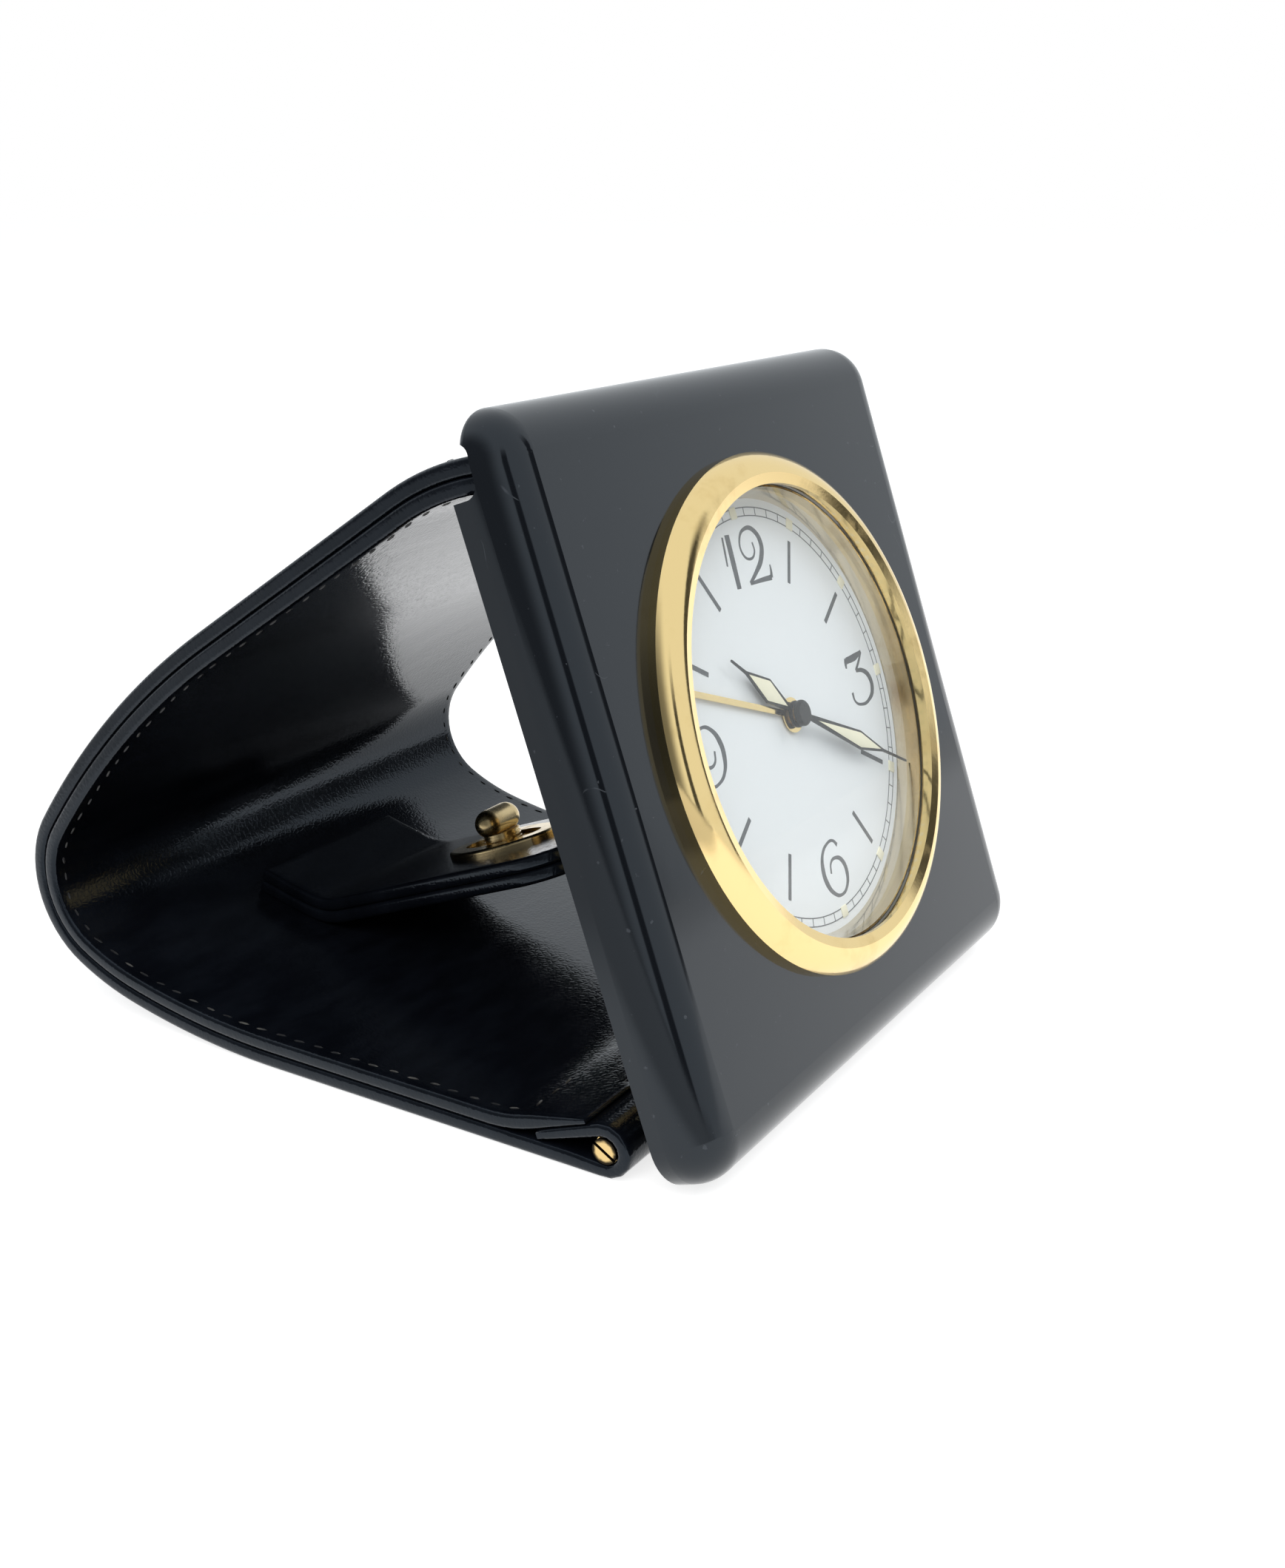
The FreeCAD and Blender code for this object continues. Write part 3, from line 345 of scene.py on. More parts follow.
DIAL_FACE = 1.2            # Y of the dial's front
INK_HIGH = 0.035
BAR_IN, BAR_OUT = 15.1, 20.0
BAR_HALF = 0.26
TRACK_IN, TRACK_OUT = 21.55, 22.45
TRACK_HALF = 0.055
LUME_SIDE = 1.25
SQUARE_CORNER = 1.414      # a square's corners, from its middle, over half its side

enamel = Finish("dial_white", Base_Color=(0.80, 0.83, 0.84), Roughness=0.38)
place = enamel.place()
speck = enamel.noise(place, 1500, detail=2).between(0.72, 0.78)
enamel.change(
    Base_Color=enamel.mix(enamel.noise(place, 35, detail=3) * 0.5 + speck * 0.3,
                          (0.82, 0.845, 0.875), (0.76, 0.785, 0.81)),
    Roughness=enamel.noise(place, 300) * 0.12 + 0.34,
    Normal=enamel.bump(enamel.noise(place, 2200, detail=2), 0.000006, 0.5))
dress(enamel, "dial")

ink = Finish("printed_ink", Base_Color=(0.045, 0.05, 0.06), Roughness=0.5)
ink.change(Base_Color=ink.mix(ink.noise(ink.place(), 1800, detail=3), (0.03, 0.034, 0.042),
                              (0.08, 0.088, 0.10)))
lume = Finish("luminous_paint", Base_Color=(0.78, 0.77, 0.58), Roughness=0.85)
place = lume.place()
lume.change(
    Base_Color=lume.mix(lume.noise(place, 1400, detail=4), (0.88, 0.84, 0.66), (0.78, 0.75, 0.58)),
    Normal=lume.bump(lume.noise(place, 3000, detail=3), 0.00002, 0.7))


def piece(name, mesh, finish, to=CASE_FRAME, smooth_deg=35):
    """Make a mesh or bmesh drawn in millimetres an object, with its place in its mesh."""
    if isinstance(mesh, bmesh.types.BMesh):
        drawn, mesh = mesh, bpy.data.meshes.new(name)
        drawn.to_mesh(mesh)
        drawn.free()
    mesh.name = name
    mesh.transform(to)
    mesh.shade_smooth()
    mesh.set_sharp_from_angle(angle=math.radians(smooth_deg))
    mesh.materials.clear()
    mesh.materials.append(finish.material)
    made = bpy.data.objects.new(name, mesh)
    bpy.context.scene.collection.objects.link(made)
    return made


def stroke(points):
    """A printed stroke through (x, z, width) points on the dial, as a flattened tube's mesh."""
    curve = bpy.data.curves.new("stroke", "CURVE")
    curve.dimensions = "3D"
    curve.bevel_depth, curve.bevel_resolution, curve.resolution_u = 1.0, 2, 6
    curve.use_fill_caps = True
    spline = curve.splines.new("BEZIER")
    spline.bezier_points.add(len(points) - 1)
    for knot, (x, z, width) in zip(spline.bezier_points, points):
        knot.co = (x, 0, z)
        knot.radius = width / 2
        knot.handle_left_type = knot.handle_right_type = "AUTO"
    drawn = bpy.data.objects.new("stroke", curve)
    bpy.context.scene.collection.objects.link(drawn)
    bpy.context.view_layer.update()
    mesh = bpy.data.meshes.new_from_object(drawn)
    bpy.data.objects.remove(drawn)
    bpy.data.curves.remove(curve)
    return mesh


# Each numeral is a few pen strokes: across, up, width.
TWELVE = [
    [(-3.35, 20.0, 0.34), (-3.6, 18.4, 0.40), (-3.85, 17.0, 0.30)],
    [(-2.35, 20.1, 0.95), (-2.55, 17.2, 0.95), (-2.75, 14.4, 0.85)],
    [(2.3, 18.55, 0.30), (2.25, 17.5, 0.30), (1.0, 16.95, 0.30), (-0.25, 17.8, 0.34),
     (-0.05, 19.3, 0.34), (1.5, 20.15, 0.40), (3.2, 19.7, 0.62), (4.0, 18.2, 0.85),
     (3.3, 16.7, 0.80), (1.4, 15.4, 0.55), (-0.3, 14.55, 0.40)],
    [(-0.3, 14.5, 0.34), (2.2, 14.45, 0.50), (4.3, 14.35, 0.60)],
    [(4.3, 14.35, 0.60), (4.55, 15.0, 0.44), (4.65, 15.7, 0.25)],
]
THREE = [
    [(14.95, 1.7, 0.34), (15.1, 2.3, 0.60), (15.35, 2.7, 0.70)],
    [(15.35, 2.5, 0.75), (17.5, 2.5, 0.85), (19.3, 2.75, 0.40)],
    [(19.3, 2.7, 0.30), (18.3, 1.9, 0.40), (17.0, 1.0, 0.40)],
    [(17.0, 1.0, 0.40), (18.6, 0.65, 0.55), (19.75, -0.4, 0.82), (19.7, -1.75, 0.80),
     (18.3, -2.7, 0.45), (16.3, -2.8, 0.34), (14.95, -2.1, 0.34), (14.85, -1.1, 0.50)],
]
SIX = [
    [(2.3, -15.2, 0.50), (1.6, -14.5, 0.34), (0.3, -14.45, 0.34), (-1.2, -15.2, 0.50),
     (-1.95, -16.7, 0.80), (-1.85, -18.3, 0.80), (-0.9, -19.7, 0.50), (0.5, -20.3, 0.34),
     (2.0, -19.85, 0.45), (2.8, -18.5, 0.72), (2.5, -17.1, 0.65), (1.3, -16.35, 0.38),
     (0.0, -16.55, 0.34), (-0.5, -17.6, 0.34)],
]
SIX_MIDDLE = (0.42, -17.35)
NINE_MIDDLE = (-16.75, 0.1)
NINE = [[(NINE_MIDDLE[0] - (x - SIX_MIDDLE[0]), NINE_MIDDLE[1] - (z - SIX_MIDDLE[1]), width)
         for x, z, width in line] for line in SIX]

bm = bmesh.new()
for line in TWELVE + THREE + SIX + NINE:
    bm.from_mesh(stroke(line))
bmesh.ops.scale(bm, vec=(1, 0.06, 1), verts=bm.verts)
bmesh.ops.translate(bm, vec=(0, DIAL_FACE, 0), verts=bm.verts)
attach(piece("dial_numerals", bm, ink), "case")


def block(bm, across, low, high, degrees, front, back, soften=0.0):
    """A small upright block on the dial, from radius low to high, turned clockwise from twelve."""
    made = bmesh.ops.create_cube(bm, size=1.0)["verts"]
    bmesh.ops.scale(bm, vec=(across, back - front, high - low), verts=made)
    bmesh.ops.translate(bm, vec=(0, (front + back) / 2, (low + high) / 2), verts=made)
    if soften:
        edges = list({e for v in made for e in v.link_edges})
        made = bmesh.ops.bevel(bm, geom=edges, offset=soften, segments=2, profile=0.5,
                               affect="EDGES", material=-1)["verts"]
    bmesh.ops.rotate(bm, cent=(0, 0, 0), verts=list(made),
                     matrix=Matrix.Rotation(math.radians(degrees), 3, "Y"))


bm = bmesh.new()
for hour in (1, 2, 4, 5, 7, 8, 10, 11):
    block(bm, 2 * BAR_HALF, BAR_IN, BAR_OUT, 30 * hour, DIAL_FACE - INK_HIGH, DIAL_FACE + 0.02)
for minute in range(60):
    block(bm, 2 * TRACK_HALF, TRACK_IN, TRACK_OUT, 6 * minute,
          DIAL_FACE - INK_HIGH * 0.6, DIAL_FACE + 0.02)
for radius in (TRACK_IN, TRACK_OUT):
    band = bmesh.ops.create_circle(bm, cap_ends=False, segments=4, radius=1.0)["verts"]
    bmesh.ops.rotate(bm, verts=band, matrix=Matrix.Rotation(math.radians(45), 3, "Z"))
    bmesh.ops.scale(bm, vec=(TRACK_HALF * SQUARE_CORNER, INK_HIGH, 1), verts=band)
    bmesh.ops.translate(bm, vec=(radius, DIAL_FACE, 0), verts=band)
    edges = list({e for v in band for e in v.link_edges})
    bmesh.ops.spin(bm, geom=band + edges, cent=(0, 0, 0), axis=(0, 1, 0),
                   angle=math.tau, steps=180, use_merge=True)
bmesh.ops.recalc_face_normals(bm, faces=bm.faces)
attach(piece("dial_track", bm, ink), "case")

bm = bmesh.new()
middle = (TRACK_IN + TRACK_OUT) / 2
for hour in range(12):
    block(bm, LUME_SIDE, middle - LUME_SIDE / 2, middle + LUME_SIDE / 2, 30 * hour,
          DIAL_FACE - 0.12, DIAL_FACE + 0.02, soften=0.08)
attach(piece("dial_lume", bm, lume), "case")


# ------------------------------------------------------------------ hands
# Stamped brass hands, blackened, each a lozenge frame filled with luminous paint and drawn out
# to a needle. A black cap holds them, and the thin gilt alarm hand lies underneath.

LUME_RIM = 0.25            # black left at each side of the paint
LUME_PROUD = 0.05
black_paint = Finish("hand_black", Base_Color=(0.006, 0.006, 0.007), Roughness=0.22,
                     Specular_IOR_Level=0.15)
place = black_paint.place()
black_paint.change(Roughness=black_paint.noise(place, 900, detail=3) * 0.2 + 0.15,
                   Normal=black_paint.bump(black_paint.noise(place, 2600), 0.000004, 0.4))
dress(black_paint, "minute_hand", "hour_hand", "hand_cap")
dress(polished_gilt, "alarm_hand")


def hand_paint(name, body, wide_at, width, root_at, tip_at, front, degrees):
    """The paint in a hand's lozenge: a four-sided fill with its rim eased."""
    bm = bmesh.new()
    rim = bmesh.ops.create_circle(bm, cap_ends=True, segments=4, radius=1.0)["verts"]
    bmesh.ops.rotate(bm, verts=rim, matrix=Matrix.Rotation(math.radians(90), 3, "X"))
    for v in rim:
        if abs(v.co.x) > 0.5:
            v.co.x *= width / 2 - LUME_RIM
            v.co.z = wide_at
        else:
            v.co.z = tip_at if v.co.z > 0 else root_at
    lifted = bmesh.ops.extrude_face_region(bm, geom=bm.faces[:] + bm.edges[:] + rim)["geom"]
    bmesh.ops.translate(bm, vec=(0, -LUME_PROUD, 0),
                        verts=[g for g in lifted if isinstance(g, bmesh.types.BMVert)])
    bmesh.ops.bevel(bm, geom=bm.edges[:], offset=0.03, segments=2, profile=0.5,
                    affect="EDGES", material=-1)
    bmesh.ops.translate(bm, vec=(0, front, 0), verts=bm.verts)
    bmesh.ops.rotate(bm, verts=bm.verts, matrix=Matrix.Rotation(math.radians(degrees), 3, "Y"))
    bmesh.ops.recalc_face_normals(bm, faces=bm.faces)
    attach(piece(name, bm, lume), body)


hand_paint("minute_paint", "minute", 12.5, 2.2, 3.4, 17.0, -0.32, 118.2)
hand_paint("hour_paint", "hour", 5.6, 2.8, 1.9, 9.4, 0.22, 309.9)


# ------------------------------------------------------------------ movement
# Behind the dial: brass wheels on a brass plate, a moulded housing, and the electrical parts.

train_brass = gilding("train_brass", 0.28, tone=(0.80, 0.58, 0.26), wear=0.3)
dress(train_brass, "movement_plate", "cannon_wheel", "minute_wheel", "hour_wheel", "alarm_wheel")

moulded = Finish("moulded_black", Base_Color=(0.02, 0.02, 0.021), Roughness=0.5)
place = moulded.place()
moulded.change(Roughness=moulded.noise(place, 500) * 0.15 + 0.42,
               Normal=moulded.bump(moulded.noise(place, 1800, detail=3), 0.00002, 0.5))
dress(moulded, "movement_housing", "sounder", "alarm_switch")

steel = Finish("bright_steel", Base_Color=(0.55, 0.55, 0.56), Metallic=1.0, Roughness=0.3)
place = steel.place()
steel.change(Roughness=steel.noise(place, 600, detail=3) * 0.2 + 0.2,
             Normal=steel.bump(steel.noise(place, 2200), 0.000005, 0.5))
dress(steel, "cell", "cell_contact", "hinge_pin")

board = Finish("board_green", Base_Color=(0.02, 0.12, 0.05), Roughness=0.4)
board.change(Base_Color=board.mix(board.noise(board.place(), 400, detail=2).between(0.45, 0.55),
                                  (0.02, 0.12, 0.05), (0.03, 0.17, 0.07)))
dress(board, "circuit_board")
copper = Finish("coil_copper", Base_Color=(0.65, 0.28, 0.12), Metallic=1.0, Roughness=0.35)
copper.change(Roughness=copper.noise(copper.place(), 3000) * 0.3 + 0.2)
dress(copper, "motor_coil")


# ------------------------------------------------------------------ back
# The movement's cover is spun brass, gilded and brushed, held by four screws. Two fluted knobs
# set the hands and the alarm, and a coin-slotted hatch closes over the cell.

brushed_gilt = gilding("brushed_gilt", 0.26, tone=(0.86, 0.62, 0.27))
place = brushed_gilt.place()
grain = brushed_gilt.noise(place, 900, detail=3, stretch=(0.06, 1, 1))
brushed_gilt.change(Roughness=grain * 0.2 + 0.16,
                    Normal=brushed_gilt.bump(grain, 0.00001, 0.6))
dress(brushed_gilt, "back_cover", "battery_hatch")
dress(polished_gilt, "time_knob", "alarm_knob", "back_screws")


# ------------------------------------------------------------------ hinge
# A steel pin runs through two gilt lugs on the case's back and through a brass tube in the
# leather's fold. A slotted brass screw closes each end of the pin. Its gilt is darker in a rim
# round its head, and its slot is given painted shade.

SCREW_SLOT = (0.03645, 0.03655)        # from the middle of the clock, the slot's floor to the face; painted shade lies deeper than the face
SCREW_DARK_RIM = (0.00085, 0.00125)       # from the pin's axis, where the clean gilt ends and where the darker rim is full
PIN_TONE = (0.80, 0.58, 0.26)
# The colour of the darker rim round each screw head, and of the painted shade in its slot.
SCREW_DARK_TONE = (0.022, 0.017, 0.010)

dress(polished_gilt, "hinge_lugs", "lug_screws")
dress(train_brass, "hinge_tube")

pin_gilt = gilding("pin_gilt", 0.16, tone=PIN_TONE)
place = pin_gilt.place()
out = pin_gilt.node("ShaderNodeSeparateXYZ", {}, {"Vector": place}).math("ABSOLUTE")
pin = Vector(joints["cover_swing"]["pos_m"])
beside_pin = pin_gilt.node("ShaderNodeVectorMath", {"operation": "MULTIPLY"}, {0: place, 1: (0, 1, 1)})
from_pin = pin_gilt.node("ShaderNodeVectorMath", {"operation": "DISTANCE"}, {
    0: beside_pin, 1: (0, pin.y, pin.z)}, output="Value")
# A noise wobbles the edge of the darker rim.
rim_wobble = (pin_gilt.noise(place, 1500, detail=3) - 0.5) * 0.0005
# Painted shade on the slot's floor, and a darker rim round the head.
dark_rim_and_slot_shade = (from_pin + rim_wobble).between(*SCREW_DARK_RIM).math("MAXIMUM", 1.0 - out.between(*SCREW_SLOT))
pin_gilt.change(Base_Color=pin_gilt.mix(dark_rim_and_slot_shade, PIN_TONE, SCREW_DARK_TONE),
                Roughness=dark_rim_and_slot_shade * 0.3 + 0.14)
dress(pin_gilt, "pin_screws")


# ------------------------------------------------------------------ cover
# Two layers of black box calf, glued and saddle stitched. Each is cut flat, its edges are rounded
# and painted, and it is then bent along the cover's line: round the hinge tube, back along the
# table, up and over, and down to the groove in the case's back.

PIN = Vector(joints["cover_swing"]["pos_m"]) * 1000
BAND_HALF = 36.8
SKIN_T = 1.7
LINING_T = 1.7
LOOP_R = 2.9
FOLD_T = 1.45              # the skin is skived where it goes round the tube
SKIVE_EASE = 4.0           # and comes back to full over this
TUCK_END = 8.0
TUCK_T = 1.15
LUG_X = 24.0
LUG_ROOM = 3.8             # half of each window for a lug
WINDOW_BACK = 3.1          # the windows end this far behind the pin
RUN_TABLE = 42.4
# Behind the table run: (radius, turn in degrees) of a bend, or the length of a run.
BEYOND = [(92.0, 13.4), (32.0, 15.1), (11.5, 98.4), (104.0, 20.1), 30.2, (30.0, 20.9)]
PAINTED_EDGE = 0.5
CUT_EVERY = 1.3


class Line:
    """A line of runs and bends in the Y-Z plane. Headings: 0 runs back, 90 runs up."""

    def __init__(self, start, heading, steps):
        self.parts = []
        y, z = start
        at = 0.0
        for step in steps:
            bend = isinstance(step, tuple)
            length = abs(step[0] * math.radians(step[1])) if bend else step
            self.parts.append((at, length, y, z, heading, step[0] if bend else None))
            at += length
            (y, z), heading = self.on(self.parts[-1], length, 0.0)
        self.length = at

    @staticmethod
    def on(part, s, depth):
        _, _, y, z, heading, radius = part
        h = math.radians(heading)
        if radius is None:
            return (y + s * math.cos(h) - depth * math.sin(h),
                    z + s * math.sin(h) + depth * math.cos(h)), heading
        cy, cz = y - radius * math.sin(h), z + radius * math.cos(h)
        h += s / radius
        return (cy + (radius - depth) * math.sin(h),
                cz - (radius - depth) * math.cos(h)), math.degrees(h)

    def point(self, s, depth):
        """The point at a length along the line and a depth inside it."""
        part = next((p for p in self.parts if s <= p[0] + p[1]), self.parts[-1])
        return self.on(part, s - part[0], depth)[0]


def inside(steps, depth):
    """The same bends, drawn at a depth inside them."""
    return [(s[0] - depth, s[1]) if isinstance(s, tuple) else s for s in steps]


# The folded end of the skin leaves the tube and comes down onto the skin at its tip.
tuck_tip = (PIN.y + TUCK_END, SKIN_T + TUCK_T)
tip_reach = math.hypot(TUCK_END, tuck_tip[1] - PIN.z)
leave_deg = math.degrees(math.atan2(tuck_tip[1] - PIN.z, TUCK_END) + math.acos(LOOP_R / tip_reach))
TUCK_RUN = math.sqrt(tip_reach ** 2 - LOOP_R ** 2)
TUCK_SLOPE = 90.0 - leave_deg
FOLD_TURN = 180.0 + TUCK_SLOPE

skin_line = Line(tuck_tip, 180.0 - TUCK_SLOPE, [TUCK_RUN, (LOOP_R, FOLD_TURN), RUN_TABLE] + BEYOND)
FOLD_END = TUCK_RUN + LOOP_R * math.radians(FOLD_TURN)

# The lining starts on the tuck, comes down off its tip in a slack bend, and lies on the skin.
LINING_START = 2.0
LINING_TIP_SHARE = 0.36    # of its thickness, skived to full over LINING_SKIVED
LINING_SKIVED = 7.0
drop_r = TUCK_T / (1 - math.cos(math.radians(TUCK_SLOPE)))
drop_back = drop_r * math.sin(math.radians(TUCK_SLOPE))
on_tuck = (TUCK_END - LINING_START) / math.cos(math.radians(TUCK_SLOPE))
lining_line = Line(
    (PIN.y + LINING_START, tuck_tip[1] + on_tuck * math.sin(math.radians(TUCK_SLOPE))),
    -TUCK_SLOPE,
    [on_tuck, (drop_r, TUCK_SLOPE), RUN_TABLE - TUCK_END - drop_back] + inside(BEYOND, SKIN_T))


def leather_sheet(half, length, thick, windows=(), edge=PAINTED_EDGE, corner=0.0):
    """Leather cut flat: across in X, along in Y, its outer face at Z 0, with painted edges."""
    bm = bmesh.new()
    bmesh.ops.create_grid(bm, x_segments=1, y_segments=1, size=0.5)
    bmesh.ops.scale(bm, vec=(2 * half, length, 1), verts=bm.verts)
    bmesh.ops.translate(bm, vec=(0, length / 2, 0), verts=bm.verts)
    if corner:
        far = [v for v in bm.verts if v.co.y > length / 2]
        bmesh.ops.bevel(bm, geom=far, offset=corner, segments=10, profile=0.5,
                        affect="VERTICES", material=-1)
    columns = [half - 1.2, half * 0.8, half * 0.55, half * 0.28, 0.0]
    for x in sorted({s * c for c in columns for s in (-1, 1)}
                    | {x for window in windows for x in window[:2]}):
        bmesh.ops.bisect_plane(bm, geom=bm.verts[:] + bm.edges[:] + bm.faces[:],
                               plane_co=(x, 0, 0), plane_no=(1, 0, 0))
    cuts = int(length / CUT_EVERY)
    for y in [length * i / cuts for i in range(1, cuts)] + [y for w in windows for y in w[2:]]:
        bmesh.ops.bisect_plane(bm, geom=bm.verts[:] + bm.edges[:] + bm.faces[:],
                               plane_co=(0, y, 0), plane_no=(0, 1, 0))
    bmesh.ops.remove_doubles(bm, verts=bm.verts, dist=0.001)
    for x0, x1, y0, y1 in windows:
        out = [f for f in bm.faces if x0 < f.calc_center_median().x < x1
               and y0 < f.calc_center_median().y < y1]
        bmesh.ops.delete(bm, geom=out, context="FACES")
    for face in bm.faces:
        if face.normal.z > 0:
            face.normal_flip()
    up = bmesh.ops.extrude_face_region(bm, geom=bm.faces[:], use_keep_orig=True)["geom"]
    top = [g for g in up if isinstance(g, bmesh.types.BMVert)]
    bmesh.ops.translate(bm, vec=(0, 0, thick), verts=top)
    bmesh.ops.recalc_face_normals(bm, faces=bm.faces)
    rims = [e for e in bm.edges if len(e.link_faces) == 2 and e.calc_face_angle(0) > 1.2
            and abs(e.verts[0].co.z - e.verts[1].co.z) < 1e-6]
    bmesh.ops.bevel(bm, geom=rims, offset=edge, segments=3, profile=0.5, affect="EDGES",
                    material=-1)
    flat = bm.loops.layers.uv.new("flat")
    for face in bm.faces:
        for loop in face.loops:
            loop[flat].uv = ((loop.vert.co.x + loop.vert.co.z) / 1000, loop.vert.co.y / 1000)
    return bm


def bend_along(bm, line, skive=None):
    """Bend flat leather along a line; skive gives its thickness share at a length."""
    for v in bm.verts:
        depth = v.co.z * (skive(v.co.y) if skive else 1.0)
        v.co.y, v.co.z = line.point(v.co.y, depth)


calf = Finish("box_calf", Base_Color=(0.003, 0.0035, 0.0055), Roughness=0.25,
              Specular_Tint=(0.70, 0.84, 1.0), Specular_IOR_Level=0.35)
flat = calf.flat()
pores = calf.node("ShaderNodeTexVoronoi", {"feature": "DISTANCE_TO_EDGE"},
                  {"Vector": flat, "Scale": 1500.0, "Randomness": 1.0})
creases = calf.noise(flat, 110, detail=6, roughness=0.62, stretch=(1, 2.4, 1))
calf.change(
    Base_Color=calf.mix(creases.between(0.35, 0.7), (0.002, 0.0025, 0.004), (0.004, 0.005, 0.0075)),
    Roughness=creases * 0.09 + 0.10,
    Normal=calf.bump(pores.between(0.0, 0.25), 0.00002, 0.35,
                     over=calf.bump(creases, 0.0003, 0.13)))

tip_share, fold_share = TUCK_T / SKIN_T, FOLD_T / SKIN_T


def skin_skive(s):
    """The skin is thinned to its tip, and round the tube."""
    if s < TUCK_RUN:
        return tip_share + (fold_share - tip_share) * s / TUCK_RUN
    return fold_share + (1 - fold_share) * min(1.0, max(0.0, (s - FOLD_END) / SKIVE_EASE))


window_start = TUCK_RUN - (WINDOW_BACK - LOOP_R * math.cos(math.radians(leave_deg))) / math.cos(
    math.radians(TUCK_SLOPE))
windows = [(side * LUG_X - LUG_ROOM, side * LUG_X + LUG_ROOM, window_start, FOLD_END + WINDOW_BACK)
           for side in (-1, 1)]
bm = leather_sheet(BAND_HALF, skin_line.length, SKIN_T, windows)
bend_along(bm, skin_line, skin_skive)
skin = piece("cover_skin", bm, calf, to=MM, smooth_deg=60)
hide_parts("skin_lower", "skin_upper")

window_end = (WINDOW_BACK - LINING_START) / math.cos(math.radians(TUCK_SLOPE))
windows = [(side * LUG_X - LUG_ROOM, side * LUG_X + LUG_ROOM, -1.0, window_end)
           for side in (-1, 1)]
bm = leather_sheet(BAND_HALF, lining_line.length, LINING_T, windows)
bend_along(bm, lining_line, lambda s: min(
    1.0, LINING_TIP_SHARE + (1 - LINING_TIP_SHARE) * s / LINING_SKIVED))
lining = piece("cover_lining", bm, calf, to=MM, smooth_deg=60)
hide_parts("lining_lower", "lining_upper")

# The real cover opens in its rear bend, about a line across the skin's outer face; here the skin and
# the lining stay one piece each, with their place in their meshes.
for leather in (skin, lining):
    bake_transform(leather)


# ------------------------------------------------------------------ stitching
# Saddle stitches in waxed thread, near every edge of the cover, each pulled down at its ends into
# an awl hole. The wax has caught dust, so the thread shows dull against the leather.

STITCH_IN = 1.5
STITCH_PITCH = 2.6
STITCH_LONG = 1.9
THREAD_R = 0.18
ACROSS = list(range(-6, 7)) + [-13, -12, -11, 11, 12, 13]      # stitches between and outside the lugs
THREAD_SUNK = 0.35         # of its radius, below the leather's face
ASKEW = 8                  # degrees that each stitch slants along its row
STRAY_ACROSS, STRAY_ALONG, STRAY_TURN = 0.12, 0.15, 7
THREAD_WIDTHS, THREAD_LENGTHS = (0.7, 1.05), (0.82, 1.08)
ROW_ACROSS = 7.4           # how far the lining's row across is from its start
LINING_ROWS_FROM = 8.5
SKIN_ROWS_FROM = 4.0       # beyond the fold
ROWS_SHORT = 1.5           # of the free end

thread = Finish("waxed_thread", Base_Color=(0.10, 0.095, 0.085), Roughness=0.42)
place = thread.place()
thread.change(
    Base_Color=thread.mix(thread.noise(place, 330, detail=4).between(0.48, 0.72),
                          (0.006, 0.006, 0.007), (0.085, 0.082, 0.074)),
    Normal=thread.bump(thread.noise(place, 5000, detail=2), 0.00003, 0.8))


bm = bmesh.new()
rod = bmesh.ops.create_cone(bm, cap_ends=True, segments=6, radius1=THREAD_R, radius2=THREAD_R,
                            depth=STITCH_LONG)["verts"]
bmesh.ops.rotate(bm, verts=rod, matrix=Matrix.Rotation(math.radians(90), 3, "X"))
bmesh.ops.subdivide_edges(
    bm, edges=[e for e in bm.edges if abs(e.verts[0].co.y - e.verts[1].co.y) > 1.0], cuts=2)
for v in bm.verts:
    if abs(v.co.y) > STITCH_LONG * 0.4:
        v.co.z -= THREAD_R * 1.1
        v.co.x *= 0.6
bmesh.ops.rotate(bm, verts=bm.verts, matrix=Matrix.Rotation(math.radians(ASKEW), 3, "Z"))
one_stitch = bpy.data.meshes.new("stitch")
bm.to_mesh(one_stitch)
bm.free()


random.seed(7)


def stitch_row(name, line, depth, first, last, face, across=0.0):
    """Rows down both sides of a line, and one across it; face is 1 for stitches on its inside."""
    bm = bmesh.new()
    count = int((last - first) / STITCH_PITCH)
    places = [(side * (BAND_HALF - STITCH_IN), first + (i + 0.5) * STITCH_PITCH, 0.0)
              for side in (-1, 1) for i in range(count)]
    if across:
        places += [(i * STITCH_PITCH, across, 90.0) for i in ACROSS]
    for x, y, turn in places:
        placed = one_stitch.copy()
        placed.transform(
            Matrix.Translation((x + random.uniform(-STRAY_ACROSS, STRAY_ACROSS),
                                y + random.uniform(-STRAY_ALONG, STRAY_ALONG), 0))
            @ Matrix.Rotation(math.radians(turn + random.uniform(-STRAY_TURN, STRAY_TURN)), 4, "Z")
            @ Matrix.Diagonal((random.uniform(*THREAD_WIDTHS), random.uniform(*THREAD_LENGTHS), 1, 1)))
        bm.from_mesh(placed)
        bpy.data.meshes.remove(placed)
    if face < 0:
        bmesh.ops.scale(bm, vec=(1, 1, -1), verts=bm.verts)
    bmesh.ops.translate(bm, vec=(0, 0, depth - face * THREAD_R * THREAD_SUNK), verts=bm.verts)
    bend_along(bm, line)
    bmesh.ops.recalc_face_normals(bm, faces=bm.faces)
    made = piece(name, bm, thread, to=MM, smooth_deg=60)
    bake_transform(made)


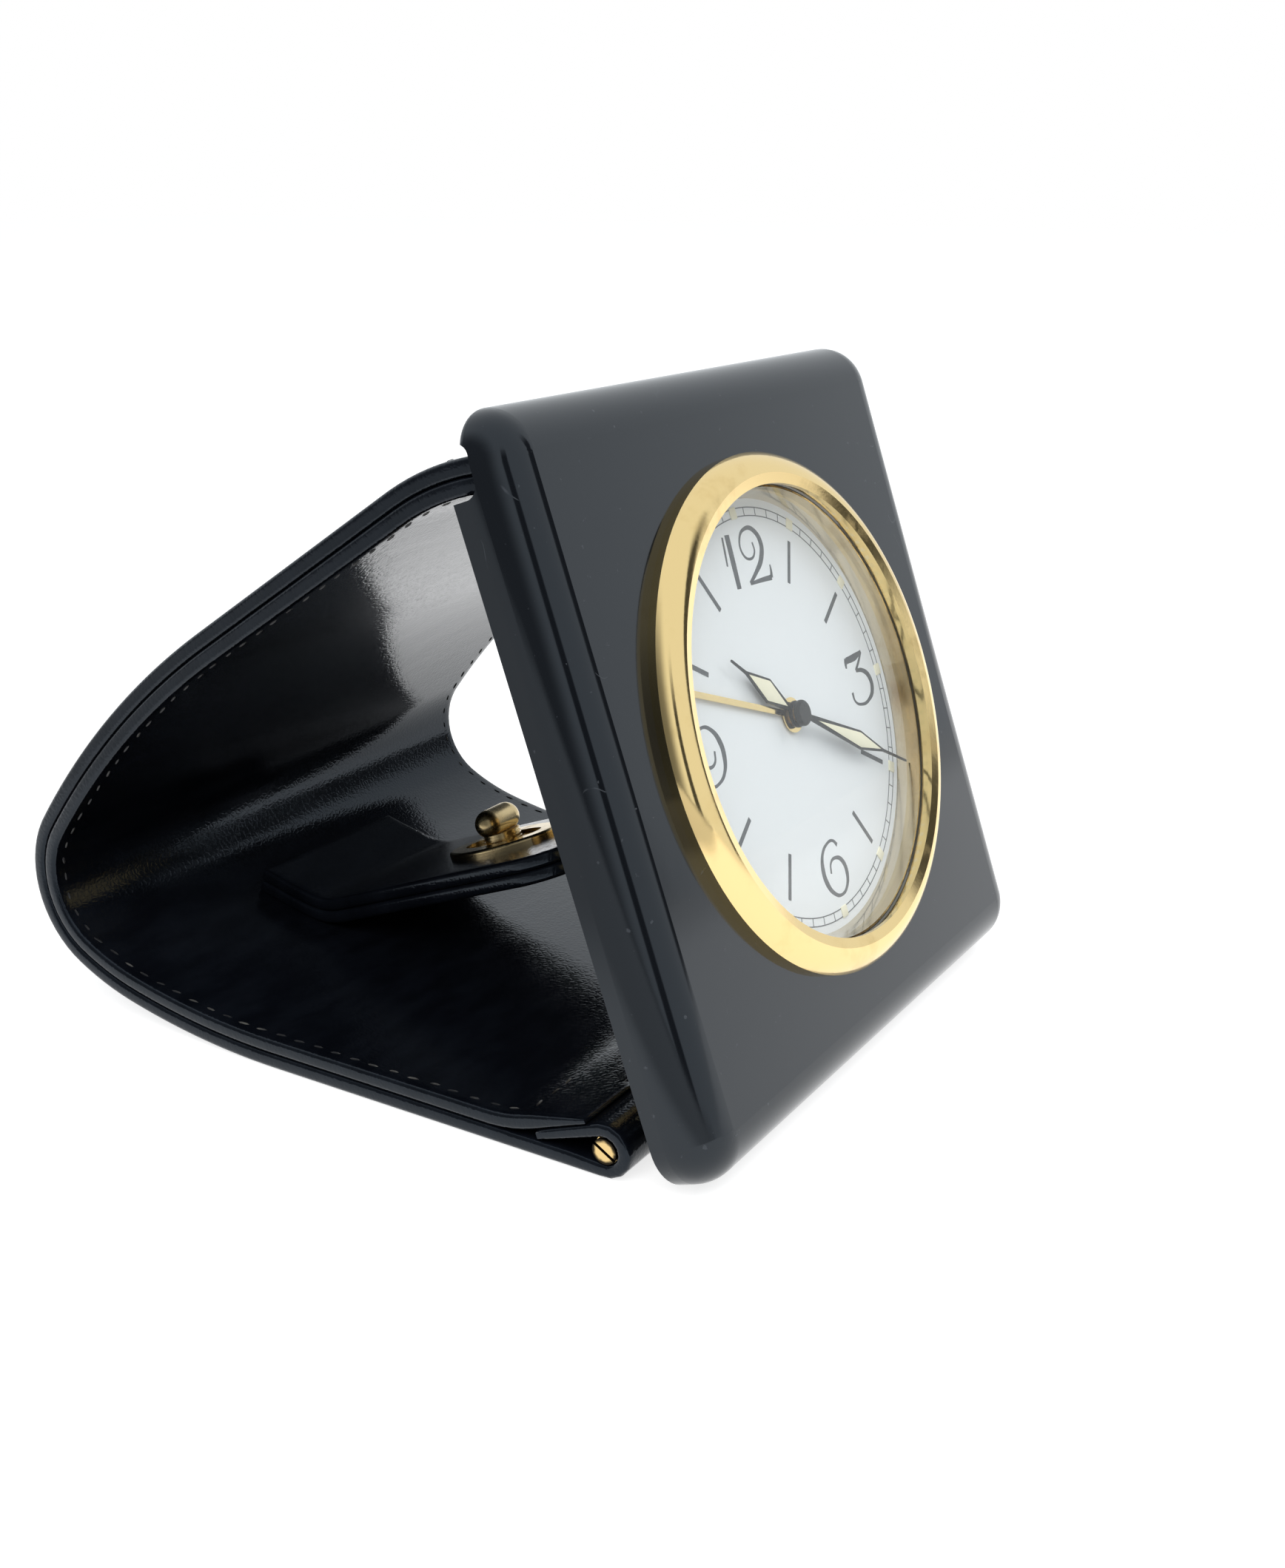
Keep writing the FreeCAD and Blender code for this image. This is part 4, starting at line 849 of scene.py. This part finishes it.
stitch_row("lining_stitches", lining_line, LINING_T, LINING_ROWS_FROM,
           lining_line.length - ROWS_SHORT, 1, across=ROW_ACROSS)
stitch_row("skin_stitches", skin_line, 0.0, FOLD_END + SKIN_ROWS_FROM,
           skin_line.length - ROWS_SHORT, -1)


# ------------------------------------------------------------------ closing tab
# Two narrower leathers, sewn to the lining near the rear bend, that rise freely inside the loop
# and end in a round tip. They carry a gilt oval plate and a twist lock.

TAB_HALF = 12.0
TAB_T = 1.6
TAB_SEWN = 8.0
TAB_LEAVES = 59.0
TAB_BEND_R = 10.0
TAB_RISE = 21.1
TAB_FLAT = 35.0
TAB_TIP_R = 7.0
TAB_EDGE = 0.45

table_bend_r = BEYOND[0][0] - SKIN_T - LINING_T
leaves_deg = math.degrees(math.asin((TAB_LEAVES - RUN_TABLE) / table_bend_r))
sewn_deg = math.degrees(TAB_SEWN / table_bend_r)
shelf = SKIN_T + LINING_T
root_h = math.radians(leaves_deg + sewn_deg)
root = (PIN.y + RUN_TABLE + table_bend_r * math.sin(root_h),
        shelf + table_bend_r * (1 - math.cos(root_h)))
tab_line = Line(root, 180.0 + leaves_deg + sewn_deg,
                [(-table_bend_r, -sewn_deg), (-TAB_BEND_R, -(TAB_RISE + leaves_deg)), TAB_FLAT])
for name, depth, nodes in (("tab_lower_leather", 0.0, ("tab_under",)),
                           ("tab_upper_leather", -TAB_T, ("tab_top", "tab_root"))):
    bm = leather_sheet(TAB_HALF, tab_line.length, TAB_T, corner=TAB_TIP_R, edge=TAB_EDGE)
    bmesh.ops.translate(bm, vec=(0, 0, depth - TAB_T), verts=bm.verts)
    bend_along(bm, tab_line)
    made = piece(name, bm, calf, to=MM, smooth_deg=60)
    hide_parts(*nodes)
    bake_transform(made)


# ------------------------------------------------------------------ twist lock
# An oval plate, a ribbed post and a turning bar, all gilded brass. The bar turns across the oval.

lock_gilt = gilding("lock_gilt", 0.22, tone=(0.62, 0.49, 0.27))
dress(lock_gilt, "eyelet_plate", "lock_post", "turn_bar")
